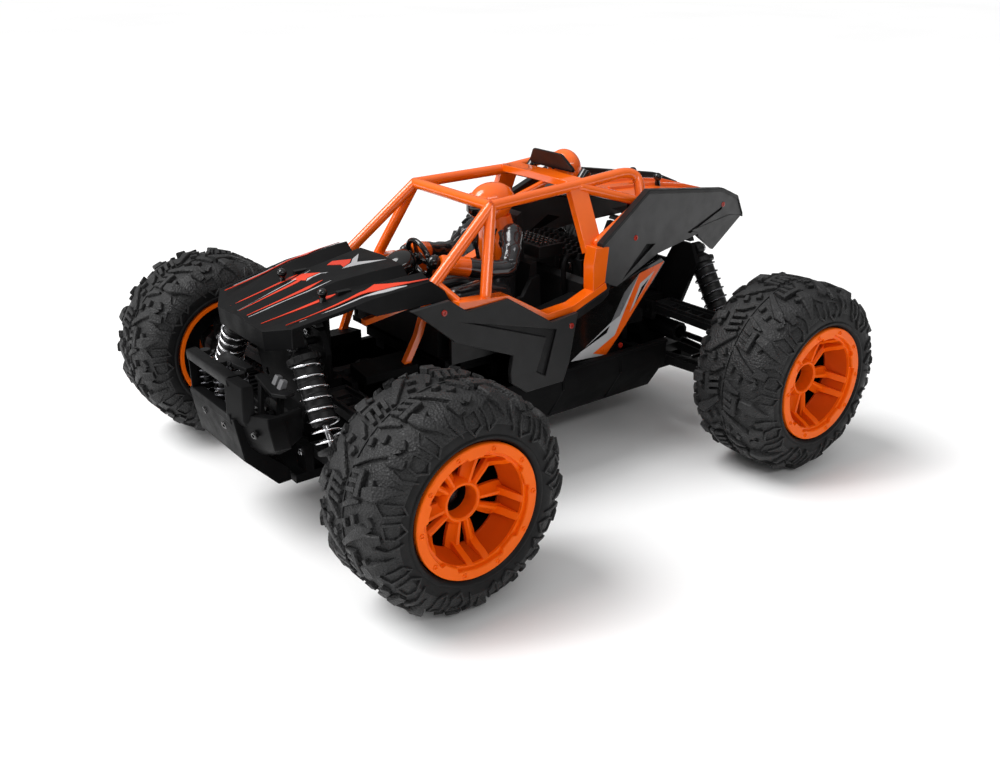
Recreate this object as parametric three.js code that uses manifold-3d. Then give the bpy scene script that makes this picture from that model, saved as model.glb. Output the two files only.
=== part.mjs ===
// RC monster truck: a 1:16 four-wheel-drive desert truck with an open roll cage, built as an assembly.
// Millimetres, +X forward, +Y to the truck's left, +Z up, ground at z = 0, wheelbase centred on x = 0 inside `truck`.
import * as THREE from 'three';
import { mergeVertices } from 'three/addons/utils/BufferGeometryUtils.js';
import Module from 'manifold-3d';

const wasm = await Module();
wasm.setup();

// ---------- driving dimensions ----------
const AXLE_X = 96.5;            // half the wheelbase
const WHEEL_Y = 100.5;          // wheel mid-plane
const WHEEL_R = 45;             // tyre radius, and the height of the axles
const TYRE_HALF = 21.8;         // half the tyre's width
const RIM_R = 26.3;             // bead lock ring radius
const TYRE_FACETS = 24;
const PIN_IN = 20;              // y of the arms' inner pins
const PIN_OUT = 74;             // y of the arms' outer pins
const LOW_Z = 34;               // lower arm pins
const HIGH_Z = 56;              // upper arm pins
const KING_Y = 84;              // kingpin axis
const CUP_Y = PIN_IN + 10;      // centre of a drive shaft's inner joint
const SHOCK_X = 113.5;          // plane of the shock absorbers
const SHOCK_TOP = [26, 84];     // y, z of the upper eye
const SHOCK_LOW = [54, 40];     // y, z of the lower eye
const STEER_X = 82.5;           // line of the steering link, 14 mm behind the kingpins
const LINK_Z = 51.1;
const SHAFT_Z = 36;             // centre drive shaft
const TRAY_END = 74.5;
const TUBE_R = 2.4;             // roll cage tube
const NOSE_X = 142.5;           // foremost point of the bumper
const TAIL_X = -150;            // rearmost point of the quarter panels
const SHOCK_SPAN = Math.hypot(SHOCK_LOW[0] - SHOCK_TOP[0], SHOCK_TOP[1] - SHOCK_LOW[1]);
const SHOCK_LEAN = Math.atan2(SHOCK_LOW[0] - SHOCK_TOP[0], SHOCK_TOP[1] - SHOCK_LOW[1]);

// ---------- materials ----------
const plastic = (color, roughness) => new THREE.MeshStandardMaterial({ color, roughness, metalness: 0 });
const metal = (color, roughness) => new THREE.MeshStandardMaterial({ color, roughness, metalness: 1 });
const rubber = plastic(0x17181a, 0.85);
const orange = plastic(0xf4600c, 0.35);
const panelBlack = plastic(0x26272a, 0.45);
const chassisBlack = plastic(0x111113, 0.6);
const springSteel = metal(0x8a8c90, 0.25);
const steel = metal(0xa5a8ad, 0.3);
const suitGrey = plastic(0x2b2c30, 0.35);
const cellBlue = plastic(0x1f4a8f, 0.4);

// ---------- solids ----------
// Six times the signed volume of an indexed geometry.
function signedVolume({ attributes: { position }, index }) {
  const [a, b, c] = [0, 1, 2].map(() => new THREE.Vector3());
  let sum = 0;
  for (let i = 0; i < index.count; i += 3) {
    [a, b, c].forEach((v, k) => v.fromBufferAttribute(position, index.getX(i + k)));
    sum += a.dot(b.cross(c));
  }
  return sum;
}

// A closed geometry as a manifold solid, turned so that its faces point outwards.
function solid(geometry) {
  const bare = geometry.clone();
  bare.deleteAttribute('normal');
  bare.deleteAttribute('uv');
  const merged = mergeVertices(bare, 1e-4);
  const triVerts = new Uint32Array(merged.index.array);
  if (signedVolume(merged) < 0) triVerts.reverse();
  return new wasm.Manifold(new wasm.Mesh({
    numProp: 3, vertProperties: new Float32Array(merged.attributes.position.array), triVerts,
  }));
}

// A manifold solid as a geometry, without the slivers its joins leave.
function geometryOf(made) {
  const mesh = made.asOriginal().simplify(0.04).getMesh();
  const points = new Float32Array(mesh.numVert * 3);
  for (let i = 0; i < mesh.numVert; i++) {
    points.set(mesh.vertProperties.subarray(i * mesh.numProp, i * mesh.numProp + 3), i * 3);
  }
  return new THREE.BufferGeometry()
    .setAttribute('position', new THREE.BufferAttribute(points, 3))
    .setIndex(new THREE.BufferAttribute(mesh.triVerts, 1));
}

const join = (...pieces) => pieces.reduce((a, b) => a.add(b));
const cut = (body, ...tools) => tools.reduce((a, b) => a.subtract(b), body);

function box(x, y, z) {
  const made = new THREE.BoxGeometry(x[1] - x[0], y[1] - y[0], z[1] - z[0]);
  return solid(made.translate((x[0] + x[1]) / 2, (y[0] + y[1]) / 2, (z[0] + z[1]) / 2));
}

const AXES = { x: new THREE.Vector3(1, 0, 0), y: new THREE.Vector3(0, 1, 0), z: new THREE.Vector3(0, 0, 1) };

// A cylinder along a row axis from one station to the other; at is its place on the other two axes.
// Pins, holes and thin bosses are octagons.
function cyl(axis, r, from, to, at, sides = 12) {
  const p = { x: [from, at[0], at[1]], y: [at[0], from, at[1]], z: [at[0], at[1], from] }[axis];
  return rod(new THREE.Vector3(...p), new THREE.Vector3(...p).addScaledVector(AXES[axis], to - from), r, r < 3.8 ? 8 : sides);
}

// A round bar between two points.
function rod(a, b, r, sides = 8) {
  const [p, q] = [a, b].map((v) => (v.isVector3 ? v : new THREE.Vector3(...v)));
  const made = new THREE.CylinderGeometry(r, r, p.distanceTo(q), sides);
  const turn = new THREE.Quaternion().setFromUnitVectors(AXES.y, q.clone().sub(p).normalize());
  return solid(made.applyQuaternion(turn).translate(...p.add(q).multiplyScalar(0.5).toArray()));
}

const ball = (r, x, y, z, wide = 10, high = 6) => solid(new THREE.SphereGeometry(r, wide, high).translate(x, y, z));

// A closed profile of [radius, station] points turned about Y; the first facet straddles the +Z axis.
function turned(profile, sides) {
  const outline = profile.map(([r, s]) => new THREE.Vector2(r, s));
  if (profile[0][0] > 0) outline.push(outline[0].clone());
  return solid(new THREE.LatheGeometry(outline, sides, Math.PI / sides));
}

// An outline of [u, v] points extruded along an axis: x takes (y, z), y takes (x, z) and z takes (x, y).
function prism(axis, outline, from, to) {
  const points = outline.map(([u, v]) => new THREE.Vector2(u, v));
  const made = new THREE.ExtrudeGeometry(new THREE.Shape(points), { depth: to - from, bevelEnabled: false });
  made.translate(0, 0, from);
  if (axis === 'x') made.applyMatrix4(new THREE.Matrix4().makeBasis(AXES.y, AXES.z, AXES.x));
  if (axis === 'y') made.applyMatrix4(new THREE.Matrix4().makeBasis(AXES.x, AXES.z, AXES.y));
  return solid(made);
}

// A flat bar of the given width and thickness between two points; flat is the direction its thickness takes.
function bar(a, b, width, thick, flat) {
  const [p, q] = [new THREE.Vector3(...a), new THREE.Vector3(...b)];
  const along = q.clone().sub(p).normalize();
  const side = new THREE.Vector3().crossVectors(new THREE.Vector3(...flat), along).normalize();
  const up = new THREE.Vector3().crossVectors(along, side);
  const made = new THREE.BoxGeometry(p.distanceTo(q) + thick, width, thick);
  made.applyMatrix4(new THREE.Matrix4().makeBasis(along, side, up));
  return solid(made.translate(...p.add(q).multiplyScalar(0.5).toArray()));
}

// A shell over rows of points: rows[i][j] is a point, and the shell's other face is displaced by `drop`.
function shell(rows, drop) {
  const [m, n] = [rows.length, rows[0].length];
  const points = [];
  for (const side of [0, 1]) {
    for (const row of rows) for (const p of row) points.push(...p.map((c, k) => c + side * drop[k]));
  }
  const at = (i, j, side) => side * m * n + i * n + j;
  const faces = [];
  const quad = (a, b, c, d) => faces.push(a, b, c, a, c, d);
  for (let i = 0; i < m - 1; i++) {
    for (let j = 0; j < n - 1; j++) {
      quad(at(i, j, 0), at(i + 1, j, 0), at(i + 1, j + 1, 0), at(i, j + 1, 0));
      quad(at(i, j, 1), at(i, j + 1, 1), at(i + 1, j + 1, 1), at(i + 1, j, 1));
    }
    quad(at(i + 1, 0, 0), at(i, 0, 0), at(i, 0, 1), at(i + 1, 0, 1));
    quad(at(i, n - 1, 0), at(i + 1, n - 1, 0), at(i + 1, n - 1, 1), at(i, n - 1, 1));
  }
  for (let j = 0; j < n - 1; j++) {
    quad(at(0, j, 0), at(0, j + 1, 0), at(0, j + 1, 1), at(0, j, 1));
    quad(at(m - 1, j + 1, 0), at(m - 1, j, 0), at(m - 1, j, 1), at(m - 1, j + 1, 1));
  }
  const made = new THREE.BufferGeometry();
  made.setAttribute('position', new THREE.Float32BufferAttribute(points, 3));
  made.setIndex(faces);
  return solid(made);
}

// ---------- wheels ----------
function tyre() {
  const grow = 1 / Math.cos(Math.PI / TYRE_FACETS);
  const half = [[26.7, 21.4], [34, TYRE_HALF], [41.5, 19.2], [WHEEL_R, 12.5]];
  const profile = [...half.map(([r, s]) => [r, -s]), ...half.slice().reverse()];
  return turned(profile.map(([r, s]) => [r * grow, s]), TYRE_FACETS);
}

// Rim with five V-shaped double spokes, the wheel's hex and its stub axle, whose cup takes the drive shaft.
function rim() {
  const barrel = turned([[24, -21], [25.9, -21], [25.9, 19.5], [RIM_R, 19.5], [RIM_R, TYRE_HALF],
    [21.6, TYRE_HALF], [21.6, 19.2], [24, 17]], 20);
  const hub = join(cyl('y', 9, 3, 11.5, [0, 0], 12), cyl('y', 6, -2, 3, [0, 0], 6), cyl('y', 2.5, -12, -2, [0, 0], 8));
  const spokes = [];
  for (let i = 0; i < 5; i++) {
    for (const lean of [-0.26, 0.26]) {
      const a = (i * 2 * Math.PI) / 5 + lean;
      const inner = [7 * Math.sin(a - lean * 0.6), 8, 7 * Math.cos(a - lean * 0.6)];
      spokes.push(bar(inner, [22.4 * Math.sin(a), 12.5, 22.4 * Math.cos(a)], 3.4, 5, [0, 1, 0]));
    }
  }
  const cup = cyl('y', 5, -19, -11, [0, 0], 10);
  return cut(join(barrel, hub, cup, ...spokes), cyl('y', 6.3, 7, 20, [0, 0], 12), cyl('y', 3.5, -20, -13, [0, 0], 10));
}

// ---------- suspension, drawn for the front left corner ----------
const armPlan = (inner, outer) => [[AXLE_X + inner[0], PIN_IN], [AXLE_X + inner[1], PIN_IN],
  [AXLE_X + outer[1], PIN_OUT], [AXLE_X + outer[0], PIN_OUT]];

function lowerArm() {
  const plate = prism('z', [[81.5, PIN_IN], [109, PIN_IN], [108.8, 58], [105, 66], [105, PIN_OUT], [88, PIN_OUT]],
    LOW_Z - 2.2, LOW_Z + 2.2);
  const window = prism('z', [[87, 27], [103.5, 27], [102.5, 46], [91.5, 46]], LOW_Z - 5, LOW_Z + 5);
  const slot = box([91.1, 101.9], [69.5, 80], [LOW_Z - 5, LOW_Z + 5]);
  const barrels = join(cyl('x', 3, 81.5, 109, [PIN_IN, LOW_Z], 12), cyl('x', 2.9, 88, 105, [PIN_OUT, LOW_Z], 12));
  const post = box([105.8, 108.8], [50.5, 57.5], [LOW_Z, 43]);
  const pins = join(cyl('x', 1.4, 78, 113, [PIN_IN, LOW_Z], 10), cyl('x', 1.5, 107, 117.2, SHOCK_LOW, 10));
  return join(cut(join(plate, barrels, post), window, slot), pins, cyl('x', 1.3, 89, 104, [PIN_OUT, LOW_Z], 10));
}

function upperArm() {
  const plate = prism('z', armPlan([-7, 6], [-8.5, 8.5]), HIGH_Z - 1.8, HIGH_Z + 1.8);
  const window = prism('z', [[93, 28], [99.5, 28], [100.5, 62], [92.5, 62]], HIGH_Z - 5, HIGH_Z + 5);
  const slot = box([91.1, 101.9], [69.5, 80], [HIGH_Z - 5, HIGH_Z + 5]);
  const barrels = join(cyl('x', 2.6, 89.5, 102.5, [PIN_IN, HIGH_Z], 12), cyl('x', 2.8, 88, 105, [PIN_OUT, HIGH_Z], 12));
  const pins = join(cyl('x', 1.4, 86.8, 105.4, [PIN_IN, HIGH_Z], 10), cyl('x', 1.3, 89, 104, [PIN_OUT, HIGH_Z], 10));
  return join(cut(join(plate, barrels), window, slot), pins);
}

// The lugs that hold the arms' outer pins, and the plate around the drive shaft.
function carrierPlate() {
  const plate = box([88.5, 104.5], [77.3, 80.3], [29.2, 60.8]);
  const lugs = [LOW_Z, HIGH_Z].map((z) => join(cyl('x', 2.9, 91.5, 101.5, [PIN_OUT, z], 12),
    box([91.5, 101.5], [PIN_OUT, 78], [z - 2.6, z + 2.6])));
  const holes = [LOW_Z, HIGH_Z].map((z) => cyl('x', 1.7, 85, 108, [PIN_OUT, z], 10));
  return cut(join(plate, ...lugs), cyl('y', 6.6, 70, 82, [AXLE_X, WHEEL_R], 12), ...holes);
}

// Front: a C-shaped carrier whose two ears hold the kingpins, notched where the steering arm swings inwards.
function frontCarrier() {
  const web = box([102, 106.5], [77.3, 80.3], [LOW_Z + 3, HIGH_Z - 3]);
  const notch = box([86, AXLE_X], [76, 82], [44, 50]);
  const ears = [[58.2, 61.4], [28.6, 31.8]].map((z) => cut(
    join(box([90.5, 102.5], [78, KING_Y], z), cyl('z', 4.6, z[0], z[1], [AXLE_X, KING_Y], 12)),
    cyl('z', 1.8, z[0] - 1, z[1] + 1, [AXLE_X, KING_Y], 10)));
  return cut(join(carrierPlate(), web, ...ears), notch, cyl('y', 6.6, 70, 82, [AXLE_X, WHEEL_R], 12));
}

const stubBore = () => join(cyl('y', 5.5, 70, 90.2, [AXLE_X, WHEEL_R], 12), cyl('y', 2.9, 80, 100, [AXLE_X, WHEEL_R], 10));

function steeringKnuckle() {
  const body = join(cyl('y', 7.8, 84.3, 94, [AXLE_X, WHEEL_R], 14), box([91.5, 101.5], [82.7, 87.5], [32.4, 57.6]));
  const arm = join(box([STEER_X, 92], [82.8, 86.7], [45.3, 48.3]), cyl('z', 3, 45.3, 48.3, [STEER_X, KING_Y], 12));
  const pins = join(cyl('z', 1.4, 29, 33, [AXLE_X, KING_Y], 10), cyl('z', 1.4, 57, 61, [AXLE_X, KING_Y], 10),
    cyl('z', 0.8, 47, 54, [STEER_X, KING_Y]));
  return join(cut(join(body, arm), stubBore()), pins);
}

// Rear: one carrier that doesn't steer.
const rearCarrier = () => join(carrierPlate(), cut(join(cyl('y', 7.8, 79, 94, [AXLE_X, WHEEL_R], 14),
  box([90.5, 102.5], [79, 84], [34, 56])), stubBore()));

const driveShaft = () => join(cyl('y', 1.6, CUP_Y, KING_Y, [AXLE_X, WHEEL_R], 10),
  ball(2.6, AXLE_X, CUP_Y, WHEEL_R), ball(2.6, AXLE_X, KING_Y, WHEEL_R));

// Shock parts hang down -Z from the upper eye and are leaned out by their holder.
const eye = (hole, from, half) => cut(cyl('x', 3.6, -half, half, [0, from], 12), cyl('x', hole, -9, 9, [0, from], 10));

function shockBody() {
  const parts = join(cyl('z', 5, -34, -3.4, [0, 0], 12), cyl('z', 6.7, -8, -6, [0, 0], 14), eye(2, 0, 2.5));
  return cut(parts, cyl('z', 1.9, -35, -12, [0, 0], 10), cyl('x', 2, -9, 9, [0, 0], 10));
}

const shockShaft = () => join(cyl('z', 1.5, -SHOCK_SPAN + 3, -20, [0, 0], 10), cyl('z', 6.5, -45.2, -43.2, [0, 0], 14),
  eye(2.3, -SHOCK_SPAN, 2.4), cyl('z', 3, -SHOCK_SPAN + 3, -44, [0, 0], 12));

class Helix extends THREE.Curve {
  constructor(r, top, low, turns) {
    super();
    Object.assign(this, { r, top, low, turns });
  }
  getPoint(t, target = new THREE.Vector3()) {
    const a = t * this.turns * 2 * Math.PI;
    return target.set(this.r * Math.cos(a), this.r * Math.sin(a), this.top + (this.low - this.top) * t);
  }
}

function coilSpring() {
  const wire = new THREE.Shape([[0.6, 0], [0, 0.6], [-0.6, 0], [0, -0.6]].map(([u, v]) => new THREE.Vector2(u, v)));
  const path = new Helix(5.95, -9, -42.2, 6);
  return solid(new THREE.ExtrudeGeometry(wire, { steps: 48, bevelEnabled: false, extrudePath: path }));
}

const tieRod = () => cut(join(cyl('y', 1.5, 30, KING_Y, [STEER_X, LINK_Z], 10),
  cyl('z', 4.3, LINK_Z - 1.5, LINK_Z + 1.5, [STEER_X, KING_Y])),
cyl('z', 3, LINK_Z - 5, LINK_Z + 5, [STEER_X, KING_Y]));

// ---------- chassis and drive ----------
// Gear case with its bottom plate, arm lugs, shock tower and output cups, drawn for the front.
function gearCase() {
  const sides = [1, -1];
  const body = join(box([88.2, 102.4], [-15, 15], [26, 60]), cyl('y', 11.3, -15.5, 15.5, [AXLE_X + 1, 43], 14),
    box([101, 104.5], [-12, 12], [40, 66]), cyl('x', 5, 80, 90, [0, SHAFT_Z], 10));
  const plate = box([75.2, 118], [-24, 24], [22.5, 26.3]);
  const tower = prism('x', [[-14, 34], [14, 34], [16, 48], [24.5, 54], [35, 80], [31, 89], [20, 89], [14, 78],
    [-14, 78], [-20, 89], [-31, 89], [-35, 80], [-24.5, 54], [-16, 48]], 103.9, 106.2);
  const lugs = sides.flatMap((s) => [[77.2, 81.1], [109.4, 113]].map((x) => box(x, [s * PIN_IN - 4, s * PIN_IN + 4], [24, 38])));
  const highLugs = sides.map((s) => box([86.2, 89.1], [s * 18 - 5.5, s * 18 + 5.5], [51, 60]));
  const cups = sides.map((s) => cyl('y', 5, s * 10, s * 34, [AXLE_X, WHEEL_R], 10));
  const tools = sides.flatMap((s) => [
    cyl('x', 1.8, 70, 120, [s * PIN_IN, LOW_Z], 8), cyl('x', 1.8, 80, 110, [s * PIN_IN, HIGH_Z], 8),
    cyl('x', 3.5, 81.1, 109.4, [s * PIN_IN, LOW_Z], 12), cyl('y', 3.5, s * 26, s * 40, [AXLE_X, WHEEL_R], 10),
    cyl('x', 3.1, 89.1, 102.9, [s * PIN_IN, HIGH_Z], 12)]);
  const pins = sides.map((s) => cyl('x', 1.6, 105, 117, [s * SHOCK_TOP[0], SHOCK_TOP[1]], 10));
  const socket = cyl('x', 3, 79, 84, [0, SHAFT_Z], 12);
  return join(cut(join(body, plate, tower, ...lugs, ...highLugs, ...cups), ...tools, socket), ...pins);
}

function chassisTray() {
  const outline = [[-46, 49], [-46, 38], [-35, 22], [35, 22], [46, 38], [46, 49], [43.6, 49], [43.6, 39], [33.6, 24.6],
    [-33.6, 24.6], [-43.6, 39], [-43.6, 49]];
  const end = [[-45, 40.2], [-45, 38], [-34, 23], [34, 23], [45, 38], [45, 40.2]];
  const ends = [1, -1].map((s) => prism('x', end, ...(s > 0 ? [TRAY_END - 2.4, TRAY_END] : [-TRAY_END, 2.4 - TRAY_END])));
  const servoBed = box([50, 70], [-9.5, 9.5], [24, 40.2]);
  return cut(join(prism('x', outline, -TRAY_END, TRAY_END), ...ends, servoBed), cyl('x', 4, -80, 80, [0, SHAFT_Z], 12));
}

const battery = () => join(...[35, 52].map((z) => cyl('x', 8.8, -62, 6, [19.5, z], 14)), box([-62, 6], [12, 27], [36, 51]));

function driveMotor() {
  const can = cyl('x', 12.2, -66, -28, [-16, 40.5], 20);
  return join(can, cyl('x', 4, -70, -66, [-16, 40.5], 12), cyl('x', 1.2, -28, -24.6, [-16, 40.5], 8),
    cyl('x', 5, -25.6, -20.4, [-16, 40.5], 14));
}

const centreShaft = () => join(cyl('x', 2.4, -83, 83, [0, SHAFT_Z], 12), cyl('x', 10.4, -25.2, -21, [0, SHAFT_Z], 24));

const controlBoard = () => join(box([-14, 26], [-31, -8], [25, 38]), box([-8, 4], [-28, -12], [38, 42]));

const steeringServo = () => join(box([47, 75], [-9.5, 9.5], [40.6, 54]), box([42, 47.5], [-9.5, 9.5], [49, 51.5]),
  cyl('z', 2.5, 54, 58.4, [68.5, 0], 12));

const servoHorn = () => cut(join(cyl('z', 4.6, 54.6, 57.4, [68.5, 0], 16), box([70, STEER_X], [-2.2, 2.2], [54.6, 57.4]),
  cyl('z', 3, 54.6, 57.4, [STEER_X, 0], 12), cyl('z', 0.8, 49.5, 55, [STEER_X, 0])), cyl('z', 2.9, 50, 60, [68.5, 0]));

const steeringLink = () => cut(join(cyl('y', 1.7, -28.4, 28.4, [STEER_X, LINK_Z], 10),
  cyl('z', 4.4, LINK_Z - 1.7, LINK_Z + 1.7, [STEER_X, 0], 16)), cyl('z', 3, 45, 60, [STEER_X, 0]));

// ---------- body ----------
const SILL = [[49, 91.6], [26.5, 90.4], [4.5, 77.2], [-13, 77.4], [-31.5, 84.6], [-29, 102]];  // x, z along the door opening
const SILL_Y = 41.2;
const ROOF_FRONT = [20.6, 29.1, 126.1];
const ROOF_REAR = [-31, 24.8, 127.6];
const REAR_NODE = [-66, 32.2, 115.6];

function rollCage() {
  const pieces = [];
  for (const s of [1, -1]) {
    const at = ([x, y, z]) => [x, s * y, z];
    const tube = (a, b) => pieces.push(rod(at(a), at(b), TUBE_R, 8));
    const knot = (p) => pieces.push(ball(TUBE_R, ...at(p), 8, 4));
    tube(ROOF_FRONT, [53.2, 33.9, 99.6]);
    tube(ROOF_FRONT, [34, 40.8, 90]);
    tube(ROOF_FRONT, ROOF_REAR);
    tube(ROOF_REAR, [-62, 25, 129]);
    tube([-62, 25, 129], [-66, 27.5, 127]);
    tube([-66, 27.5, 127], REAR_NODE);
    tube(ROOF_REAR, REAR_NODE);
    tube([-33, 38.6, 103], REAR_NODE);
    pieces.push(rod(at([52.6, 33.8, 100]), at([46.5, 40.5, 91.6]), 1.5, 6));
    [ROOF_FRONT, ROOF_REAR, REAR_NODE, [-62, 25, 129], [-66, 27.5, 127]].forEach(knot);
    pieces.push(bar(at([-31, 25.2, 128.6]), at([-31, 39, 102.5]), 10, 3, [0, s, 0]));
    for (let i = 0; i < SILL.length - 1; i++) {
      const [a, b] = [SILL[i], SILL[i + 1]];
      pieces.push(bar([a[0], s * SILL_Y, a[1]], [b[0], s * SILL_Y, b[1]], 4.2, 2.6, [b[1] - a[1], 0, a[0] - b[0]]));
    }
  }
  pieces.push(rod(ROOF_FRONT, [ROOF_FRONT[0], -ROOF_FRONT[1], ROOF_FRONT[2]], TUBE_R, 8));
  pieces.push(rod(REAR_NODE, [REAR_NODE[0], -REAR_NODE[1], REAR_NODE[2]], TUBE_R, 8));
  pieces.push(bar([-31, -26, 128.6], [-31, 26, 128.6], 10, 3, [0, 0, 1]));
  pieces.push(shell([[[-65, 30, 116], [-65, -30, 116]], [[-138, 17, 106.5], [-138, -17, 106.5]]], [0, 0, -2]));
  return join(...pieces);
}

// x, y, z lines along half of the bonnet, nose first, from the centre line out to the flank's lower edge.
function bonnet() {
  const half = [
    [[125.2, 0, 81.5], [125.2, 7, 81.5], [125.2, 14, 82], [125, 21, 82.5], [118.6, 32, 84.5]],
    [[126, 0, 91.4], [126, 5, 91.3], [126, 12, 90.6], [126, 20.5, 90.4], [119, 32.6, 93]],
    [[98, 0, 97.5], [98, 12, 97], [98, 18, 94.6], [98, 24, 95.6], [98, 35, 98]],
    [[58, 0, 105], [58, 17, 104.2], [58, 22, 99.8], [56, 30, 100], [57.5, 37.4, 103.4]],
  ];
  const rows = half.map((row) => [...row.slice(1).reverse().map(([x, y, z]) => [x, -y, z]), ...row]);
  const lid = shell(rows, [-1.6, 0, -1.6]);
  const flanks = [1, -1].map((s) => prism('y', [[92, 100.4], [57.5, 104.2], [52.4, 97.4], [52.8, 94.6], [84.5, 94.6]],
    s > 0 ? 36.9 : -38.9, s > 0 ? 38.9 : -36.9));
  return cut(join(lid, ...flanks), box([40, 70], [-30, 30], [108, 120]));
}

// A flat panel: x, z outline on a plane whose y is y0 + slopeX x + slopeZ z, with the given thickness inwards.
function panel(outline, [y0, slopeX, slopeZ], thick) {
  const made = new THREE.ExtrudeGeometry(new THREE.Shape(outline.map(([x, z]) => new THREE.Vector2(x, z))),
    { depth: thick, bevelEnabled: false });
  return solid(made.applyMatrix4(new THREE.Matrix4().set(
    1, 0, 0, 0, slopeX, slopeZ, 1, y0 - thick, 0, 1, 0, 0, 0, 0, 0, 1)));
}

const DOOR_PLANE = [57.04, 0, -0.12];
const LOW_PLANE = [45.6, 0.1, 0];
const QUARTER_PLANE = [51, 0.2078, 0];

function sidePanel() {
  const door = panel([[72.7, 93.8], [53.8, 93.8], [45.8, 88.7], [23.6, 89.5], [1.4, 74.8], [-14.4, 76.4], [-7.2, 54.5],
    [-3.3, 46.5], [18.3, 46.5], [26, 52.7], [26, 57.7], [23.6, 65.1], [53.3, 77.5], [69.3, 90]], DOOR_PLANE, 2.2);
  const lower = panel([[2, 73.5], [-14.4, 74.2], [-34, 78.7], [-72, 87.2], [-70, 77], [-43, 49.8], [-3, 51], [6, 55]],
    LOW_PLANE, 2);
  const groove = prism('y', [[44.9, 84], [-1, 71.5], [6.9, 52.5], [11.7, 55], [4.5, 68.5]], 40, 60);
  const skin = panel([[60, 92], [-6, 76], [2, 48], [20, 48]], [DOOR_PLANE[0] - 1.2, 0, -0.12], 3);
  const boss = box([-3, 4], [44.5, 48], [56, 66]);
  return join(cut(door, groove.subtract(skin)), lower, boss);
}

function quarterPanel() {
  const face = panel([[-32.6, 102.8], [-65.3, 122.4], [-131, 112], [-143, 106.6], [TAIL_X, 92], [-130.2, 80],
    [-111.9, 91], [-110.8, 93], [-76, 90], [-43, 81.3], [-34.5, 85]], QUARTER_PLANE, 2);
  const lip = shell([[[-68, 36.8, 121.6], [-68, 32.8, 120.6]], [[-131, 23.7, 111.7], [-131, 19.8, 110.9]]], [0, 0, -1.6]);
  return join(face, lip);
}

function cockpitTub() {
  const side = [[50, 89], [26, 87.6], [5, 74.4], [-14, 74.6], [-30, 81], [-30, 64], [50, 64]];
  const walls = [1, -1].map((s) => prism('y', side, s > 0 ? 38 : -40, s > 0 ? 40 : -38));
  const floor = box([-30, 52], [-39.5, 39.5], [63, 65.5]);
  const back = box([-30, -27.5], [-38, 38], [64, 98]);
  const dash = prism('y', [[52, 64], [52, 90], [44, 92], [40, 86], [47, 80], [47, 64]], -36, 36);
  const seat = join(prism('y', [[-24, 65], [12, 65], [14, 72], [-13.8, 70], [-19.5, 102], [-26, 103]], -15, 15));
  const column = rod([46, 0, 88], [37, 0, 98.5], 1.6, 10);
  const ring = new THREE.TorusGeometry(9.5, 1.3, 5, 16).applyMatrix4(new THREE.Matrix4().lookAt(
    new THREE.Vector3(46, 0, 88), new THREE.Vector3(37, 0, 98.5), AXES.z)).translate(37, 0, 98.5);
  const tilt = [9 / 13.83, 0, -10.5 / 13.83];
  const hub = rod([37 + 1.4 * tilt[0], 0, 98.5 + 1.4 * tilt[2]], [37 - 1.4 * tilt[0], 0, 98.5 - 1.4 * tilt[2]], 3, 12);
  const arm = bar([37, -9.5, 98.5], [37, 9.5, 98.5], 2.4, 1.6, [tilt[0], 0, tilt[2]]);
  return join(...walls, floor, back, dash, seat, column, solid(ring), hub, arm);
}

function driverFigure() {
  const helmet = new THREE.SphereGeometry(11, 14, 10).scale(1.08, 0.96, 1.04).translate(-6.5, 0, 113);
  const chest = prism('x', [[-8.5, 74], [8.5, 74], [12.6, 92], [11.5, 98.5], [4, 102.5], [-4, 102.5], [-11.5, 98.5], [-12.6, 92]],
    -13.5, 1.5);
  const limbs = [1, -1].flatMap((s) => [
    rod([-6, s * 13.2, 95.5], [6, s * 18.4, 82.5], 4), ball(4.4, 6, s * 18.4, 82.5, 8, 5), ball(4.6, -6, s * 13, 95.5, 8, 5),
    rod([6, s * 18.4, 82.5], [28.5, s * 14.6, 93], 3.5), ball(3.8, 29, s * 14.6, 93.2, 8, 5),
    rod([-4, s * 6.4, 77.5], [26, s * 8.8, 80.5], 5), ball(5.4, 26, s * 8.8, 80.5, 8, 5),
    rod([26, s * 8.8, 80.5], [38, s * 8.8, 69.5], 3.6)]);
  return join(solid(helmet), chest, cyl('z', 6, 100, 106, [-6.5, 0], 12), ...limbs);
}

function roofPod() {
  const dome = solid(new THREE.SphereGeometry(13, 14, 10).scale(0.92, 1.12, 1).translate(-51.5, 0, 122.5));
  const plate = prism('x', [[-14.5, 131.2], [14.5, 131.2], [15, 134], [12.5, 138], [-12.5, 138], [-15, 134]], -40, -37.6);
  return join(dome, plate, box([-47, -39], [-9, 9], [126, 133]));
}

function frontBumper() {
  const frame = prism('x', [[-20, 42], [20, 42], [23, 52], [21, 75], [-21, 75], [-23, 52]], 137.6, NOSE_X - 0.5);
  const window = prism('x', [[-16.5, 58], [16.5, 58], [15.5, 71], [-15.5, 71]], 130, 150);
  const wings = [1, -1].map((s) => shell([[[NOSE_X - 0.5, s * 20.4, 75], [130, s * 27.5, 73]],
    [[NOSE_X - 0.5, s * 22.4, 56], [130, s * 30, 55]], [[NOSE_X - 0.5, s * 20, 43], [130, s * 30, 42]]]
    .map((row) => (s > 0 ? row.reverse() : row)), [0, -s * 2.6, 0]));
  const blocks = [1, -1].map((s) => prism('z', [[118.6, s * 24], [118.6, s * 33], [126, s * 35.5], [132, s * 30], [132, s * 24]],
    44, 57));
  const skid = prism('y', [[NOSE_X - 0.6, 56], [138, 56], [136, 46], [118.6, 30], [118.6, 24], [124, 24], [NOSE_X - 2, 42]], -27, 27);
  const lip = box([NOSE_X - 3, NOSE_X], [-17, 17], [48, 55]);
  return join(cut(frame, window), ...wings, ...blocks, skid, lip);
}

// ---------- assembly ----------
const truck = new THREE.Group();
truck.position.x = -(NOSE_X + TAIL_X) / 2;

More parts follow.
